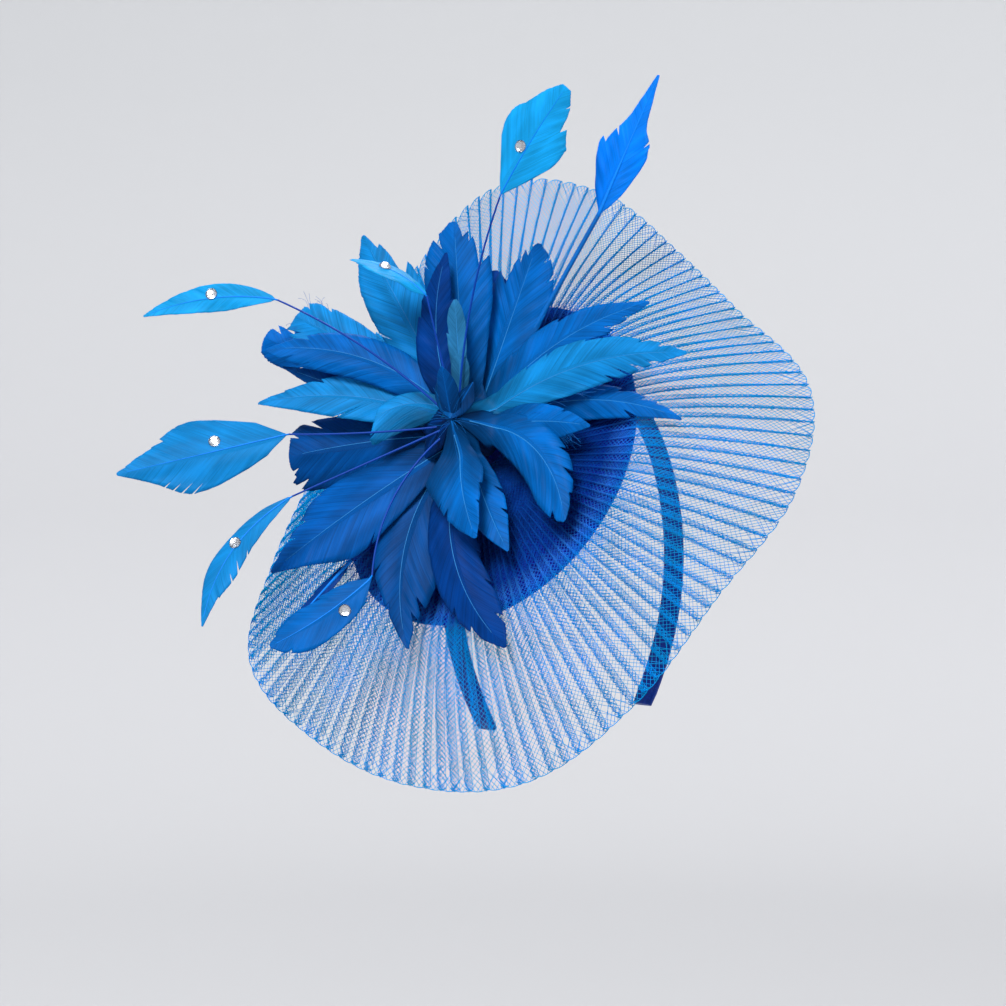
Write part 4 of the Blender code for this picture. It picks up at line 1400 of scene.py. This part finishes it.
class FASCINATOR_OT_crystals(bpy.types.Operator):
    """Sets the foil-backed cut crystals on the arrow feathers."""

    bl_idname = "fascinator.crystals"
    bl_label = "Crystals"

    def execute(self, context):
        glass, _, _ = new_material(
            "crystal_glass", Roughness=0.02, IOR=1.55, Transmission_Weight=1.0,
            Base_Color=(0.97, 0.98, 1, 1))
        foil, _, _ = new_material(
            "crystal_foil", Roughness=0.18, Metallic=1.0, Base_Color=(0.9, 0.92, 0.95, 1))
        flower = flower_frame()
        arrows = {arrow.name: arrow for arrow in ARROWS}
        for crystal in CRYSTALS:
            arrow, along = arrows[crystal.feather], 1 + crystal.along
            aside = crystal.across * half_of(arrow, crystal.across)
            aside *= smooth_of(SHAPES[arrow.shape], crystal.along)
            middle = arrow_surface(arrow, along, aside)
            ahead = arrow_surface(arrow, along + CRYSTAL_FEEL, aside) - middle
            beside = arrow_surface(arrow, along, aside + 1) - middle
            out = ahead.cross(beside).normalized()
            place = flower @ frame_matrix(middle + out * CRYSTAL_LIFT, ahead, out)
            shape = stone_shape()
            bmesh.ops.transform(shape, matrix=Matrix.Scale(MM, 4) @ place, verts=shape.verts)
            name = f"{crystal.name}_stone"
            mesh_data = mesh_of(shape, name, smooth=False)
            piece_of(name, mesh_data, [glass, foil], "crystal", crystal.name)
        return {"FINISHED"}


class FASCINATOR_OT_stage(bpy.types.Operator):
    """Sets up the pale stage, the soft lights and the camera."""

    bl_idname = "fascinator.stage"
    bl_label = "Stage and camera"

    def execute(self, context):
        scene = context.scene
        floor, cove, wall = STAGE_STEPS

        def place(u, v):
            step = round(u * sum(STAGE_STEPS))
            if step <= floor:
                radius, height = (STAGE_RADIUS - STAGE_COVE) * step / floor, 0
            elif step <= floor + cove:
                bend = math.pi / 2 * (step - floor) / cove
                radius = STAGE_RADIUS - STAGE_COVE + STAGE_COVE * math.sin(bend)
                height = STAGE_COVE * (1 - math.cos(bend))
            else:
                radius = STAGE_RADIUS
                height = STAGE_COVE + (STAGE_WALL - STAGE_COVE) * (step - floor - cove) / wall
            return polar(radius, 2 * math.pi * v, FLOOR_HEIGHT + height)

        shape = bmesh.new()
        add_grid(shape, sum(STAGE_STEPS), STAGE_TURNS, place, lambda u, v: (u, v))
        mesh_data = mesh_of(shape, "backdrop")
        mesh_data.flip_normals()
        backdrop = new_object("backdrop", mesh_data)
        paper, tree, shader = new_material("backdrop_paper", Roughness=0.9, Specular_IOR_Level=0.1)
        where = add(tree, "ShaderNodeTexCoord")
        parts = add(tree, "ShaderNodeSeparateXYZ", {0: where.outputs["Object"]})
        rise = add(tree, "ShaderNodeMapRange", {
            "Value": parts.outputs["Z"], "From Min": -PAPER_REACH, "From Max": PAPER_REACH})
        # Painted light: the paper's tone changes with height.
        tone = ramp(tree, rise.outputs[0], *PAPER_PAINTED_TONES)
        tree.links.new(tone, shader.inputs["Base Color"])
        mesh_data.materials.append(paper)
        backdrop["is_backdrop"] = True

        azimuth, elevation = math.radians(CAMERA_AZIMUTH), math.radians(CAMERA_ELEVATION)
        back = Vector((math.sin(azimuth) * math.cos(elevation),
                       -math.cos(azimuth) * math.cos(elevation), math.sin(elevation)))
        target = LOOK_AT * MM
        camera_data = bpy.data.cameras.new("camera")
        camera_data.lens = CAMERA_LENS
        camera_data.sensor_width = CAMERA_SENSOR
        camera_data.clip_start, camera_data.clip_end = CAMERA_CLIP
        scene.camera = new_object("camera", camera_data)
        aim(scene.camera, target + back * CAMERA_AWAY, -back)
        for name, near, aside, up, width, strength in LIGHTS:
            data = bpy.data.lights.new(name, "SUN")
            data.angle = math.radians(width)
            data.energy = strength
            place = target + back * near + polar(1, azimuth) * aside + Vector((0, 0, up))
            aim(new_object(name, data), place, target - place)
        world = bpy.data.worlds.new("studio")
        world.use_nodes = True
        sky = world.node_tree.nodes["Background"]
        sky.inputs["Color"].default_value = SKY
        sky.inputs["Strength"].default_value = SKY_STRENGTH
        scene.world = world
        scene.view_settings.view_transform = "Standard"
        return {"FINISHED"}


class FASCINATOR_PT_panel(bpy.types.Panel):
    """Lists the fascinator's steps and sizes."""

    bl_label = "Fascinator"
    bl_idname = "FASCINATOR_PT_panel"
    bl_space_type = "VIEW_3D"
    bl_region_type = "UI"
    bl_category = "Fascinator"

    def draw(self, context):
        for settings in (context.scene.fascinator_net, context.scene.fascinator_feathers,
                         context.scene.fascinator_band):
            for name in settings.__annotations__:
                self.layout.prop(settings, name)
        for step in STEPS:
            self.layout.operator(step.bl_idname)


SETTINGS = {
    "fascinator_net": NetSizes, "fascinator_feathers": FeatherLooks, "fascinator_band": BandLooks}
STEPS = (
    FASCINATOR_OT_stage, FASCINATOR_OT_band, FASCINATOR_OT_base, FASCINATOR_OT_brim,
    FASCINATOR_OT_stem, FASCINATOR_OT_petals, FASCINATOR_OT_arrows, FASCINATOR_OT_crystals)


def register():
    for made in (*SETTINGS.values(), *STEPS, FASCINATOR_PT_panel):
        bpy.utils.register_class(made)
    for name, group in SETTINGS.items():
        setattr(bpy.types.Scene, name, PointerProperty(type=group))


def unregister():
    for name in SETTINGS:
        delattr(bpy.types.Scene, name)
    for made in (FASCINATOR_PT_panel, *reversed(STEPS), *SETTINGS.values()):
        bpy.utils.unregister_class(made)


def main():
    register()
    for step in STEPS:
        group, name = step.bl_idname.split(".")
        getattr(getattr(bpy.ops, group), name)()
    boxes = {"cad": CAD_BOX, "visual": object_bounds()}
    {name: [list(corner) for corner in box] for name, box in boxes.items()}


if __name__ == "__main__":
    main()
